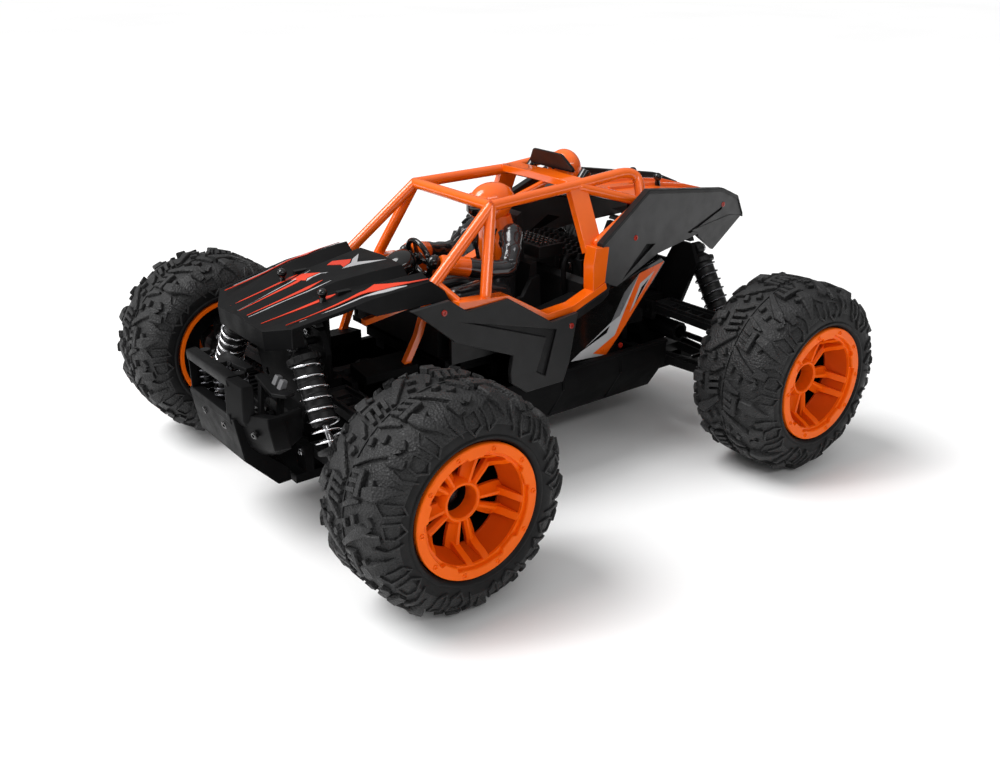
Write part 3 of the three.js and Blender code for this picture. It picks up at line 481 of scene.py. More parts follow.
# ---------- rims ----------
def make_rim(end, side, name):
    body = name + "wheel"
    place = lambda a, r, s: (AXLE_X + r * math.sin(a), WHEEL_Y + s, WHEEL_R + r * math.cos(a))
    rim = Shape(RIM_ORANGE, DEEP, RIM_PAINTED_SHADE)
    rim.lathe([(24.2, -21.0), (26.2, -21.6), (26.4, -20.4), (25.6, -19.0), (25.6, 18.6), (24.6, 19.6),
               (23.6, 19.0), (23.8, 15.4), (23.9, 2.0)], place, 80)
    # Bead lock ring: flat, with a lip inside and five hooks cut in its inner edge.
    turn_by = 0.668
    ring, lip = [], []
    for i in range(180):
        a = 2 * math.pi * i / 180
        t = ((a - turn_by) / (2 * math.pi / 5)) % 1.0
        inner = 21.4 if 0.38 < t < 0.62 else 22.4
        inner = 22.9 if 0.62 <= t < 0.70 or 0.30 < t <= 0.38 else inner
        ring.append([place(a, inner, 19.9), place(a, inner, 21.5), place(a, inner + 0.35, 21.9),
                     place(a, 25.9, 21.9), place(a, 26.3, 21.5), place(a, 26.3, 19.9)])
        lip.append([place(a, 21.2, 18.8), place(a, 21.2, 20.2), place(a, 23.4, 20.2), place(a, 23.4, 18.8)])
    rim.loft(ring, wrap=True)
    rim.loft(lip, wrap=True)
    # Steep wall inside the ring, the windows' outer edge at its foot, in a darker orange as painted shade for
    # the recess.
    rim.slot = 2
    rim.lathe([(18.8, 8.0), (18.6, 9.0), (19.0, 9.6), (21.3, 19.4), (22.6, 19.4), (20.2, 8.0)], place, 80)
    rim.slot = 0
    # Hub with its deep socket, flared into the spokes.
    rim.lathe([(6.3, 2.0), (6.3, 11.6), (6.9, 12.2), (7.6, 12.1), (8.3, 11.2), (8.9, 9.8), (9.1, 7.6),
               (9.1, 2.0)], place, 60)
    # Painted shade: matte black inside of the barrel and of the hub's socket, and a black disc behind the
    # windows, where the orange plastic lies in shade.
    rim.slot = 1
    rim.lathe([(23.3, -19.2), (24.3, -19.8), (24.3, 4.6), (23.3, 4.6)], place, 80)
    rim.lathe([(6.0, 1.8), (6.0, 5.0), (6.5, 5.0), (6.5, 1.8)], place, 48)
    rim.lathe([(9.8, -4.0), (23.5, -4.6), (23.5, -5.6), (9.8, -5.0)], place, 60)
    rim.slot = 0
    for i in range(5):
        centre = 2 * math.pi * i / 5 + turn_by
        for lean in (-1, 1):
            section = []
            for r, gap, wide, top in ((7.8, 0.45, 3.7, 11.6), (10.5, 0.8, 4.2, 11.6),
                                      (13.5, 1.25, 4.7, 11.6), (16.5, 1.6, 5.1, 11.6),
                                      (20.2, 1.8, 5.4, 11.6)):
                ring = []
                for along, high in ((0.06, -3.2), (0.0, -0.7), (0.2, 0.5), (0.44, 0.3), (0.58, -1.2),
                                    (1.0, -2.8), (0.96, -4.6)):
                    u = gap + along * wide
                    ring.append(place(centre + lean * u / r, r, top + high))
                section.append(ring)
            rim.loft(section)
            # The post that climbs from the spoke's end to the ring.
            post = []
            for r, top in ((16.4, 11.2), (18.2, 14.2), (19.6, 17.6), (21.0, 19.9), (22.6, 20.0)):
                post.append([place(centre + lean * u / r, r, h)
                             for u, h in ((2.0, 8.6), (2.2, top), (5.0, top), (5.4, 8.6))])
            rim.loft(post)
    for i in range(10):
        a = 2 * math.pi * (i + 0.5) / 10 + turn_by
        c = place(a, 24.3, 22.0)
        spot = lambda b, r, s, c=c: (c[0] + r * math.sin(b), s + WHEEL_Y, c[2] + r * math.cos(b))
        rim.lathe([(0.6, 21.6), (0.6, 22.3), (1.05, 22.3), (1.15, 21.6)], spot, 6)
    rim.make(name + "rim_moulding", body, "orange_plastic", [name + "rim"], bevel=0.22, across=(end, side),
             smooth=32)
    axle = Shape(STEEL, BLACK, SHAFT_BLACK)
    axle.slot = 2
    axle.lathe([(0.01, -12), (2.4, -12), (2.4, 1.4), (0.01, 1.4)], place, 20)
    axle.lathe([(3.3, -19), (5.0, -19), (5.0, -11.2), (0.5, -11.2), (0.5, -12.8), (3.3, -12.8)], place, 20)
    axle.lathe([(0.02, 1.2), (0.02, 2.6), (6.5, 2.6), (6.5, 1.2)], place, 32)
    axle.disc(place, 3.4, 2.4, 4.6, 6)
    axle.disc(place, 1.6, 4.4, 5.4, 14)
    axle.slot = 1
    axle.lathe([(2.5, -2.0), (6.0, -2.0), (6.0, 1.4), (2.5, 1.4)], place, 6)
    axle.make(name + "stub_axle", body, "bright_steel", bevel=0.15, across=(end, side))


for end, side, name in CORNERS:
    make_tyre(end, side, name)
    make_rim(end, side, name)


# ---------- suspension ----------
LEAN = math.atan2(SHOCK_LOW[0] - SHOCK_TOP[0], SHOCK_TOP[1] - SHOCK_LOW[1])
SPAN = math.hypot(SHOCK_LOW[0] - SHOCK_TOP[0], SHOCK_TOP[1] - SHOCK_LOW[1])
SPRING_R, SPRING_TURNS, SPRING_TOP, SPRING_END = 6.05, 7.5, 8.9, 42.4


def shock_place(a, r, s):
    """A point of the shock absorber: angle and radius about its axis, s down from the upper eye."""
    across = r * math.sin(a)
    return (SHOCK_X + r * math.cos(a), SHOCK_TOP[0] + math.sin(LEAN) * s + math.cos(LEAN) * across,
            SHOCK_TOP[1] - math.cos(LEAN) * s + math.sin(LEAN) * across)


def eye_ring(shape, s, r0, r1, half):
    c = shock_place(0, 0, s)
    spot = lambda b, r, x: (SHOCK_X + x, c[1] + r * math.sin(b), c[2] + r * math.cos(b))
    shape.lathe([(r0, -half), (r0, half), (r1 - 0.4, half), (r1, half - 0.5), (r1, 0.5 - half),
                 (r1 - 0.4, -half)], spot, 24)


def make_shock(end, side, name):
    where = dict(across=(end, side))
    body = Shape(BLACK)
    eye_ring(body, 0, 2.0, 3.6, 2.5)
    body.lathe([(0.1, 3.0), (3.2, 3.0), (4.4, 4.4), (5.0, 5.0), (6.6, 5.4), (6.7, 7.8), (6.2, 8.2),
                (5.3, 8.3), (5.3, 33.2), (4.4, 34.0), (1.9, 34.0), (1.9, 12.0), (0.1, 11.0)], shock_place, 32)
    for k in range(9):
        body.lathe([(5.2, 10.2 + 2.6 * k), (5.45, 10.5 + 2.6 * k), (5.45, 10.9 + 2.6 * k),
                    (5.2, 11.2 + 2.6 * k)], shock_place, 32)
    for k in range(12):
        a = 2 * math.pi * k / 12
        body.loft([[shock_place(a + d, r, s)
                    for d, r in ((-0.07, 6.5), (-0.05, 6.95), (0.05, 6.95), (0.07, 6.5))]
                   for s in (5.7, 7.6)])
    body.make(name + "shock_cylinder", name + "shock_body", "chassis_plastic", [name + "shock_body"],
              bevel=0.15, **where)
    shaft = Shape(STEEL, BLACK)
    shaft.lathe([(0.01, 20), (1.4, 20), (1.4, 47.5), (0.01, 47.5)], shock_place, 16)
    shaft.slot = 1
    eye_ring(shaft, SPAN, 2.3, 3.7, 2.4)
    shaft.lathe([(1.4, 42.6), (3.0, 42.6), (6.5, 43.2), (6.5, 44.6), (5.8, 45.2), (3.4, 45.8), (3.0, 49.2),
                 (1.0, 49.2)], shock_place, 28)
    shaft.make(name + "shock_rod", name + "shock_shaft", "bright_steel", [name + "shock_shaft"], bevel=0.12,
               **where)
    steps = int(SPRING_TURNS * 22)
    wire = []
    for k in range(steps + 1):
        s = SPRING_TOP + (SPRING_END - SPRING_TOP) * k / (SPRING_TURNS * 22)
        wire.append(shock_place(2 * math.pi * k / 22, SPRING_R, s))
    spring = Shape(CHROME if end == 1 else DARK_STEEL)
    spring.tube(wire, 0.5, 8)
    coil = spring.make(name + "coil_spring", name + "shock_body", "spring_steel", [name + "shock_spring"],
                       smooth=60, **where)
    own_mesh(coil)


for end, side, name in CORNERS:
    make_shock(end, side, name)


def screw(shape, at, towards, r=1.3, h=0.7):
    """A small hex-socket screw head standing on a surface."""
    c, n = Vector(at), Vector(towards).normalized()
    u = n.orthogonal().normalized()
    w = n.cross(u)
    spot = lambda a, q, s: c + n * s + (u * math.cos(a) + w * math.sin(a)) * q
    shape.lathe([(r * 0.42, h * 0.35), (r * 0.42, h), (r * 0.8, h), (r, h * 0.7), (r, -0.4), (0.05, -0.4),
                 (0.05, h * 0.35)], spot, 12)


# Ribs and screws on the arms, drawn for the front left corner.
def make_arm_detail(end, side, name):
    where = dict(across=(end, side))
    low = Shape(BLACK, STEEL)
    for x0, x1 in ((83.4, 90.0), (107.2, 103.2)):
        low.loft([[(x0 + (x1 - x0) * t - 0.8, 22 + 47 * t, 35.8),
                   (x0 + (x1 - x0) * t + 0.8, 22 + 47 * t, 35.8),
                   (x0 + (x1 - x0) * t + 0.6, 22 + 47 * t, 38.2 - 0.8 * t),
                   (x0 + (x1 - x0) * t - 0.6, 22 + 47 * t, 38.2 - 0.8 * t)] for t in (0.0, 0.5, 1.0)])
    for y in (47.5, 52, 57, 62, 66):
        low.box((92.5 - (y > 60) * 1.5, 103.2), (y - 0.6, y + 0.6), (35.8, 37.4))
    low.slot = 1
    screw(low, (117.0, SHOCK_LOW[0], SHOCK_LOW[1]), (1, 0, 0), 2.4, 1.2)
    screw(low, (105, 74, 34), (1, 0, 0), 1.6, 0.8)
    low.make(name + "lower_arm_ribs", name + "lower_arm", bevel=0.15, **where)
    high = Shape(BLACK, STEEL)
    for x0, x1 in ((91.0, 90.4), (101.4, 102.6)):
        high.loft([[(x0 + (x1 - x0) * t - 0.7, 22 + 46 * t, 57.4),
                    (x0 + (x1 - x0) * t + 0.7, 22 + 46 * t, 57.4),
                    (x0 + (x1 - x0) * t + 0.5, 22 + 46 * t, 59.2),
                    (x0 + (x1 - x0) * t - 0.5, 22 + 46 * t, 59.2)] for t in (0, 0.5, 1)])
    for y in (30, 38, 46, 54, 61):
        high.box((91.5, 101.5), (y - 0.5, y + 0.5), (55.0, 57.2))
    high.slot = 1
    screw(high, (105, 74, 56), (1, 0, 0), 1.5, 0.8)
    high.make(name + "upper_arm_ribs", name + "upper_arm", bevel=0.12, **where)


for end, side, name in CORNERS:
    make_arm_detail(end, side, name)

# ---------- roll cage ----------
TUBE_R = 2.5
ROOF_FRONT, ROOF_REAR, REAR_NODE = (20.6, 29.1, 126.1), (-31, 24.8, 127.4), (-66, 32.2, 116.2)
SILL = [(49, 93), (23, 91), (1, 78), (-14, 79), (-33, 86)]


def arc(a, b, c, steps=7):
    """A smooth bend from a to c pulled towards b."""
    return [mix(mix(a, b, k / steps), mix(b, c, k / steps), k / steps) for k in range(steps + 1)]


REAR_R = TUBE_R * 0.92
hoop = [ROOF_REAR] + arc((-58, 25.0, 129.4), (-68.5, 25.4, 129.6), (-67.4, 28.6, 124.4)) + [REAR_NODE]
cage = Shape(ORANGE)
for s in (1, -1):
    on_side = lambda *points: [(x, s * y, z) for x, y, z in points]
    cage.frame_tubes(on_side((54.0, 33.9, 99.0), ROOF_FRONT, ROOF_REAR), TUBE_R)
    cage.frame_tubes(on_side(ROOF_FRONT, (33.6, 42.6, 92.0)), TUBE_R)
    cage.tube(on_side(*hoop), TUBE_R, 16)
    cage.ball(on_side(REAR_NODE)[0], TUBE_R, 16, 8)
    cage.frame_tubes(on_side((-33, 25.8, 126.4), REAR_NODE), REAR_R)
    cage.frame_tubes(on_side((-33, 38.8, 103.5), REAR_NODE), REAR_R)
    cage.tube(on_side((53.0, 33.9, 99.6), (46.5, 41.0, 92.0)), 1.7, 12)
RIB_X = (-26.0, -36.2)
rib = [(39.2, 100.2, -3.0, -1.6), (26.2, 128.4, -3.0, -1.9), (23.8, 129.9, -1.4, -3.2), (0, 130.3, 0, -3.2)]
rib += [(-y, z, -dy, dz) for y, z, dy, dz in rib[-2::-1]]
cage.loft([[(RIB_X[0], y, z), (RIB_X[1], y, z), (RIB_X[1], y + dy, z + dz), (RIB_X[0], y + dy, z + dz)]
           for y, z, dy, dz in rib])


def strip(points, y0, y1, drop):
    """A moulded strip along x, z points, from y0 to y1 and drop thick."""
    rings = []
    for i, (x, z) in enumerate(points):
        a, b = points[max(i - 1, 0)], points[min(i + 1, len(points) - 1)]
        n = Vector((b[1] - a[1], a[0] - b[0])).normalized() * drop
        rings.append([(x, y0, z), (x, y1, z), (x - n.x, y1, z - n.y), (x - n.x, y0, z - n.y)])
    return rings


for s in (1, -1):
    cage.loft([[(p[0], p[1] * s, p[2]) for p in ring] for ring in strip(SILL, 38.8, 45.2, 3.4)])
    cage.prism("y", [(-25.6, 83.2), (-32.8, 86.2), (-34.6, 102.4), (-26.6, 103.2), (-25.2, 95)],
               *sorted((s * 38.2, s * 45.0)))
for (x, y, z), r in ((ROOF_FRONT, TUBE_R), (REAR_NODE, REAR_R)):
    cage.frame_tubes([(x, y, z), (x, -y, z)], r)
for s in (1, -1):
    cage.loft([[(x, s * y, z), (x, s * (y - 3.2), z), (x, s * (y - 3.2), z - 2.6), (x, s * y, z - 2.6)]
               for x, y, z in ((84.0, 28.0, 88.0), (66.0, 31.0, 92.0), (53.0, 33.0, 95.0))])
    cage.loft([[(x, s * y, z), (x - 3.4, s * y, z), (x - 3.4, s * (y - 3.0), z), (x, s * (y - 3.0), z)]
               for x, y, z in ((55.0, 31.0, 94.0), (60.0, 29.0, 76.0), (66.0, 28.0, 64.0))])
cage.make("cage_tubes", "chassis", "orange_plastic", ["roll_cage"], bevel=0.25, smooth=40)

deck = Shape(ORANGE)
deck.loft([[(x, y, z) for y, z in ((-w, h), (-w * 0.6, h + 1.2), (0, h + 1.8), (w * 0.6, h + 1.2), (w, h),
                                   (w, h - 1.6), (-w, h - 1.6))]
           for x, w, h in ((-64, 30, 116.2), (-96, 24.5, 114.6), (-120, 19.8, 110.8), (-137, 16.6, 106.2))])
for y in (-7.5, 7.5):
    deck.loft([[(x, y - 1.4, z), (x, y + 1.4, z), (x, y + 0.8, z + 1.5), (x, y - 0.8, z + 1.5)]
               for x, z in ((-68, 117.4), (-96, 115.9), (-120, 112.2), (-134, 108.2))])
deck.make("rear_deck", "chassis", "orange_plastic", bevel=0.3)

# ---------- bonnet ----------
NOSE = [
    [(126.2, 0, 91.4), (126.2, 3.2, 91.3), (126.1, 5.6, 90.8), (126.1, 12, 90.4), (126.0, 20.5, 90.2),
     (119.2, 32.6, 93.2)],
    [(98, 0, 98.3), (98, 9.2, 98.0), (98, 11.8, 96.4), (98, 18, 95.8), (98, 27, 97.6), (98, 35.2, 96.6)],
    [(87, 0, 101.6), (87, 11.8, 101.2), (87, 14.6, 98.2), (87, 20, 98.2), (87, 27, 100.8), (87, 36.0, 99.0)],
    [(72, 0, 103.6), (72, 14.4, 103.1), (72, 18.0, 99.4), (72, 22, 99.6), (72, 28.5, 103.0),
     (72, 36.8, 100.6)],
    [(58.2, 0, 105.2), (58.2, 17, 104.4), (57.6, 21, 99.4), (57.2, 25, 99.8), (57.4, 30.5, 104.2),
     (57.6, 37.4, 101.8)],
]


def bonnet_z(x, y):
    """Height of the bonnet's skin above a point."""
    y = abs(y)
    rows = NOSE
    for i in range(len(rows) - 1):
        if x <= rows[i][1][0] + 1e-6 and x >= rows[i + 1][1][0] - 1e-6 or i == len(rows) - 2:
            t = max(0.0, min(1.0, (rows[i][1][0] - x) / (rows[i][1][0] - rows[i + 1][1][0])))
            line = [mix(p, q, t) for p, q in zip(rows[i], rows[i + 1])]
            for a, b in zip(line, line[1:]):
                if y <= b[1] or b is line[-1]:
                    return a[2] + (b[2] - a[2]) * min(1.0, (y - a[1]) / max(1e-6, b[1] - a[1]))
    return rows[-1][0][2]


# The bonnet skin takes the darker copy of the satin black, as painted shade.
lid = Shape(BONNET_PAINTED_SHADE, DEEP)
rows = [[(x, -y, z) for x, y, z in row[:0:-1]] + row for row in NOSE]
wide = len(rows[0])
front = [(x - 0.6, y, (82.0 if abs(y) < 22 else 84.6)) for x, y, z in rows[0]]
rows = [front] + rows
lid.add([p for row in rows for p in row],
        [[i * wide + j, i * wide + j + 1, (i + 1) * wide + j + 1, (i + 1) * wide + j]
         for i in range(len(rows) - 1) for j in range(wide - 1)], sheet=True)
# Painted shade: the nose's front face takes the matte black, for the shade it lies in.
lid.slots[:wide - 1] = [1] * (wide - 1)
lid.make("bonnet_skin", "chassis", "body_plastic", ["bonnet"], bevel=0.3, smooth=20, thick=1.4)

# The flanges take the bonnet's darker copy of the satin black, as painted shade.
trim = Shape(BONNET_PAINTED_SHADE, BLACK)
for s in (1, -1):
    # Chamfered nose corner that closes the flank, then the flared flange behind the wheel arch.
    trim.loft([[(119.2, s * 32.6, 93.0), (119.2, s * 31.2, 93.0), (119.2, s * 31.0, 84.6),
                (119.2, s * 32.4, 84.6)],
               [(114.0, s * 33.1, 94.2), (114.0, s * 31.7, 94.2), (114.4, s * 31.4, 85.4),
                (114.4, s * 32.9, 85.4)]])
    trim.loft([[(119.2, s * 32.7, 93.1), (119.2, s * 31.2, 93.1), (119.2, s * 31.2, 91.4),
                (119.2, s * 32.7, 91.4)],
               [(92.0, s * 35.9, 98.0), (92.0, s * 34.4, 98.0), (92.0, s * 34.4, 96.6),
                (92.0, s * 35.9, 96.6)]])
    trim.loft([[(92.4, s * 35.7, 97.9), (92.4, s * 34.3, 97.9), (92.6, s * 34.6, 96.8),
                (92.6, s * 36.4, 96.8)], [(85.4, s * 36.2, 99.3), (85.4, s * 34.8, 99.3),
                                          (85.4, s * 39.2, 93.4), (85.4, s * 40.6, 93.4)],
               [(57.6, s * 37.6, 101.9), (57.6, s * 36.2, 101.9), (52.0, s * 39.2, 93.4),
                (52.0, s * 40.6, 93.4)], [(52.0, s * 39.3, 97.2), (52.0, s * 37.9, 97.2),
                                          (50.6, s * 39.2, 93.4), (50.6, s * 40.6, 93.4)]])
trim.slot = 1
for s in (1, -1):
    trim.box((84.6, 91.0), sorted((s * 17.2, s * 19.6)), (97.0, 99.2))
trim.make("bonnet_flanges", "chassis", "body_plastic", bevel=0.25)

FILM = 0.16


def ribbon(shape, points, lift=FILM):
    """A strip of film on the bonnet: points are (x, y, half width)."""
    fine = []
    for a, b in zip(points, points[1:]):
        n = max(1, int(abs(a[0] - b[0]) / 3.0 + 0.5))
        fine += [mix(a, b, k / n) for k in range(n)]
    fine.append(points[-1])
    rings = []
    for x, y, w in fine:
        ring = [(x, y - w, bonnet_z(x, y - w) + lift), (x, y + w, bonnet_z(x, y + w) + lift)]
        rings.append(ring + [(p[0], p[1], p[2] - 0.3) for p in ring[::-1]])
    shape.loft(rings)


def flash(shape, outline, lift=FILM):
    """A flat shape of film on the bonnet, from x, y corners."""
    top = [(x, y, bonnet_z(x, y) + lift) for x, y in outline]
    shape.loft([top, [(x, y, z - 0.3) for x, y, z in top]])


for s, tag in ((1, "left"), (-1, "right")):
    white, red = Shape(DECAL_WHITE), Shape(DECAL_RED)
    ribbon(red, [(119, s * 27.8, 0.12), (104, s * 29.0, 0.35), (92, s * 30.0, 0.5), (84, s * 30.4, 0.9),
                 (79, s * 30.4, 2.3), (74, s * 32.2, 1.3), (66, s * 34.4, 0.4), (58, s * 36.0, 0.15)],
           FILM * 3)
    ribbon(white, [(114, s * 29.6, 0.1), (98, s * 31.4, 0.22), (86, s * 32.6, 0.35), (77, s * 33.8, 1.1),
                   (68, s * 35.4, 0.15)], FILM * 0.8)
    ribbon(red, [(123, s * 14.0, 0.12), (107, s * 15.5, 0.6), (94, s * 16.5, 1.1), (90, s * 16.8, 0.15)])
    ribbon(red, [(124, s * 3.6, 0.12), (108, s * 4.5, 0.6), (97, s * 5.0, 1.1), (90, s * 5.2, 0.1)])
    ribbon(white, [(124, s * 5.0, 0.1), (108, s * 6.6, 0.24), (95, s * 8.2, 0.36), (88, s * 9.0, 0.1)],
           FILM * 0.8)
    if s < 0:
        flash(red, [(97, -9.6), (92.6, -9.8), (88, -14.4), (91.4, -9.4), (87, -2.0), (92.6, -3.4),
                    (94, -2.0), (95.6, -6.2)])
        flash(white, [(87.4, -1.6), (92.8, -2.8), (94.4, -0.8), (90.6, -1.6), (84.8, 0.8)], FILM * 0.9)
        flash(red, [(80.4, -8.0), (76.4, -10.4), (70, -5.2), (73.0, -1.4), (77.4, 1.0), (76.6, -3.0)])
        flash(white, [(78.6, 1.8), (72.6, -0.8), (69.6, -4.8), (64, -9.0), (67.6, -3.6), (70.4, 0.4),
                      (60, 7.4), (72, 3.6)], FILM * 0.9)
    white.make(f"bonnet_white_film_{tag}", "chassis", smooth=60)
    red.make(f"bonnet_red_film_{tag}", "chassis", smooth=60)

knobs = Shape(GLOSS)
for x, y in ((97, 17.5), (97, -17.5)):
    z = bonnet_z(x, y)
    knobs.tube([(x, y, z - 1), (x, y, z + 2.2)], [1.6, 1.2], 14).ball((x, y, z + 3.4), 2.1, 18, 12)
for x, y, z in ((-100, 9.0, 117.0), (-100, -9.0, 117.0)):
    knobs.tube([(x, y, z - 2), (x, y, z + 1.6)], [1.6, 1.2], 14).ball((x, y, z + 2.8), 2.1, 18, 12)
knobs.make("body_clip_knobs", "chassis", smooth=60)

# ---------- body sides ----------
door_plane = lambda x, z: 46 + 0.12 * (92 - z)
low_plane = lambda x, z: 45.4 + 0.1 * x
quarter_plane = lambda x, z: 51 + 0.2078 * x + max(0.0, -92 - x) * 0.05


def slab(shape, outline, plane, outward=0.0, thick=2.0):
    """A flat moulded panel lying on a plane of the body's side."""
    return shape.loft([[(x, plane(x, z) + outward - d, z) for x, z in outline] for d in (0.0, thick)])


# Corners of the moulded panels, seen from the side as x, z.
TAIL_TIP, TAIL_KNEE, WING_ROOT, NOTCH = (-151, 95.5), (-138, 98), (-104, 96), (-111, 93)
TAIL_TOP = [(-30.5, 103.5), (-66, 122), (-131, 112), (-145, 106), TAIL_TIP]
QUARTER = TAIL_TOP + [TAIL_KNEE, WING_ROOT, NOTCH, (-76, 90), (-43, 81.5), (-34, 85)]
WING = [WING_ROOT, TAIL_KNEE, TAIL_TIP, (-130, 80), (-112, 91), NOTCH]
DOOR = [(73, 94), (54, 95), (46, 89), (24, 90), (1, 75), (-14, 76.5), (-7, 54.5), (-3, 47), (18, 47),
        (26, 53), (26, 58), (24, 65), (53, 77), (69, 91)]
LOWER = [(2, 74), (-14, 75), (-34, 79.5), (-76, 88.5), (-79, 86), (-47, 55), (-43, 47), (-3, 50.5), (6, 55)]

# The side film is one chevron: a toe at the sill, a knee, and arms that open to the crest and the tail.
TOE, HEEL, KNEE, CREST, FILM_TAIL = (-14, 51.5), (-38, 48.5), (-44, 57), (-60, 84), (-78, 86.5)
HEEL_TOP, BACK_KNEE = (-29, 51.5), (-47, 56)
SILVER_FILM = [TOE, (-41, 64), (-50, 77), CREST, KNEE, HEEL_TOP]
AMBER_FILM = [HEEL, HEEL_TOP, KNEE, CREST, FILM_TAIL, BACK_KNEE]

for s, tag in ((1, "left"), (-1, "right")):
    across = (1, s)
    door = slab(Shape(PANEL, BLACK), DOOR, door_plane, 0.4, 2.4)
    door = door.make(f"{tag}_door_skin", "chassis", "body_plastic", [f"{tag}_side_panel"], bevel=0.35,
                     across=across)
    groove = Shape(BLACK)
    slab(groove, [(46, 84), (-1, 71.5), (7, 52), (12, 55), (5, 69)], door_plane, 2.0, 3.0)
    carve(door, cutter(groove, across))
    # Painted shade: a matte black sheet under the groove's floor.
    under = slab(Shape(DEEP), [(45, 83.5), (-0.5, 71), (7, 53), (11.5, 55.5), (5, 69)], door_plane, -1.1, 0.9)
    under.make(f"{tag}_door_groove_painted_shade", "chassis", across=across)
    lower = slab(Shape(GLOSS), LOWER, low_plane, 0.0, 1.8)
    lower.make(f"{tag}_lower_skin", "chassis", "body_plastic", bevel=0.3, across=across)
    silver, amber, grey = Shape(DECAL_WHITE), Shape(DECAL_ORANGE), Shape(DECAL_GREY)
    slab(silver, SILVER_FILM, low_plane, 0.08, 0.25)
    slab(silver, [TOE, HEEL_TOP, HEEL], low_plane, 0.06, 0.25)
    slab(amber, AMBER_FILM, low_plane, 0.12, 0.3)
    slab(silver, [(-54, 66), (-61, 79), (-71, 83)], low_plane, 0.2, 0.3)
    slab(grey, [(-41, 64), (-50, 77), CREST, (-47, 66)], low_plane, 0.14, 0.2)
    slit = slab(Shape(GLOSS), [(-57, 69), (-62, 77), (-67, 80)], low_plane, 0.28, 0.3)
    slab(slit, [(-20, 54.5), (-40, 62.5), (-38, 59.5)], low_plane, 0.2, 0.25)
    slit.make(f"{tag}_black_film", "chassis", across=across)
    silver.make(f"{tag}_silver_film", "chassis", across=across)
    amber.make(f"{tag}_amber_film", "chassis", across=across)
    grey.make(f"{tag}_grey_film", "chassis", across=across)
    # The quarter skin takes a lighter copy of the satin black, as painted light.
    quarter = slab(Shape(QUARTER_PAINTED_LIGHT, BLACK), QUARTER, quarter_plane, 0.0, 2.2)
    quarter = quarter.make(f"{tag}_quarter_skin", "chassis", "body_plastic", [f"{tag}_quarter_panel"],
                           bevel=0.35, across=across)
    under_wing = lambda x, z: quarter_plane(x, z) + 0.4 - 0.22 * max(0.0, 98.6 + (x + 140) * -0.05 - z)
    wing = slab(Shape(PANEL), WING, under_wing, 0.0, 2.2)
    wing.make(f"{tag}_wing_facet", "chassis", bevel=0.3, across=across)
    cuts = [slab(Shape(BLACK), [(-47, 83.5), (-66, 97), (-73.5, 95.5)], quarter_plane, 1.0, 1.9),
            slab(Shape(BLACK), [(-101, 95.5), (-131, 103.5), (-130.5, 102), (-103.5, 94.5)], quarter_plane,
                 1.0, 1.8)]
    carve(quarter, *[cutter(c, across) for c in cuts])
    # Painted shade: matte black sheets on the floors of the two grooves.
    dark = slab(Shape(DEEP), [(-47.5, 84), (-66, 97), (-73, 95)], quarter_plane, -0.9, 0.8)
    slab(dark, [(-102, 95.5), (-130.5, 103), (-130, 102.5), (-103.5, 95)], quarter_plane, -0.8, 0.8)
    dark.make(f"{tag}_quarter_groove_painted_shade", "chassis", across=across)
    lip = Shape(BLACK)
    rings = []
    for x, z in TAIL_TOP:
        y = quarter_plane(x, z)
        rings.append([(x, y + 0.5, z - 1.2), (x, y + 0.3, z + 0.9), (x, y - 3.6, z + 0.9),
                      (x, y - 3.8, z - 1.2)])
    lip.loft(rings)
    lip.make(f"{tag}_quarter_lip", "chassis", bevel=0.4, across=across)
    bolts = Shape(RED_SCREW)
    for x, z, plane in ((57.6, 90.6, door_plane), (-9.5, 71.3, door_plane), (-48.5, 50.6, low_plane),
                        (-56.4, 101.9, quarter_plane), (-131.4, 104.4, quarter_plane)):
        screw(bolts, (x, plane(x, z) + (0.4 if plane is door_plane else 0), z), (0, 1, 0), 1.35, 0.45)
    bolts.make(f"{tag}_panel_screws", "chassis", across=across, bevel=0.08)

# ---------- front bumper ----------
# Painted shade: the bumper moulding takes the darker copy of the black moulding.
bumper = Shape(BUMPER_PAINTED_SHADE, DEEP)
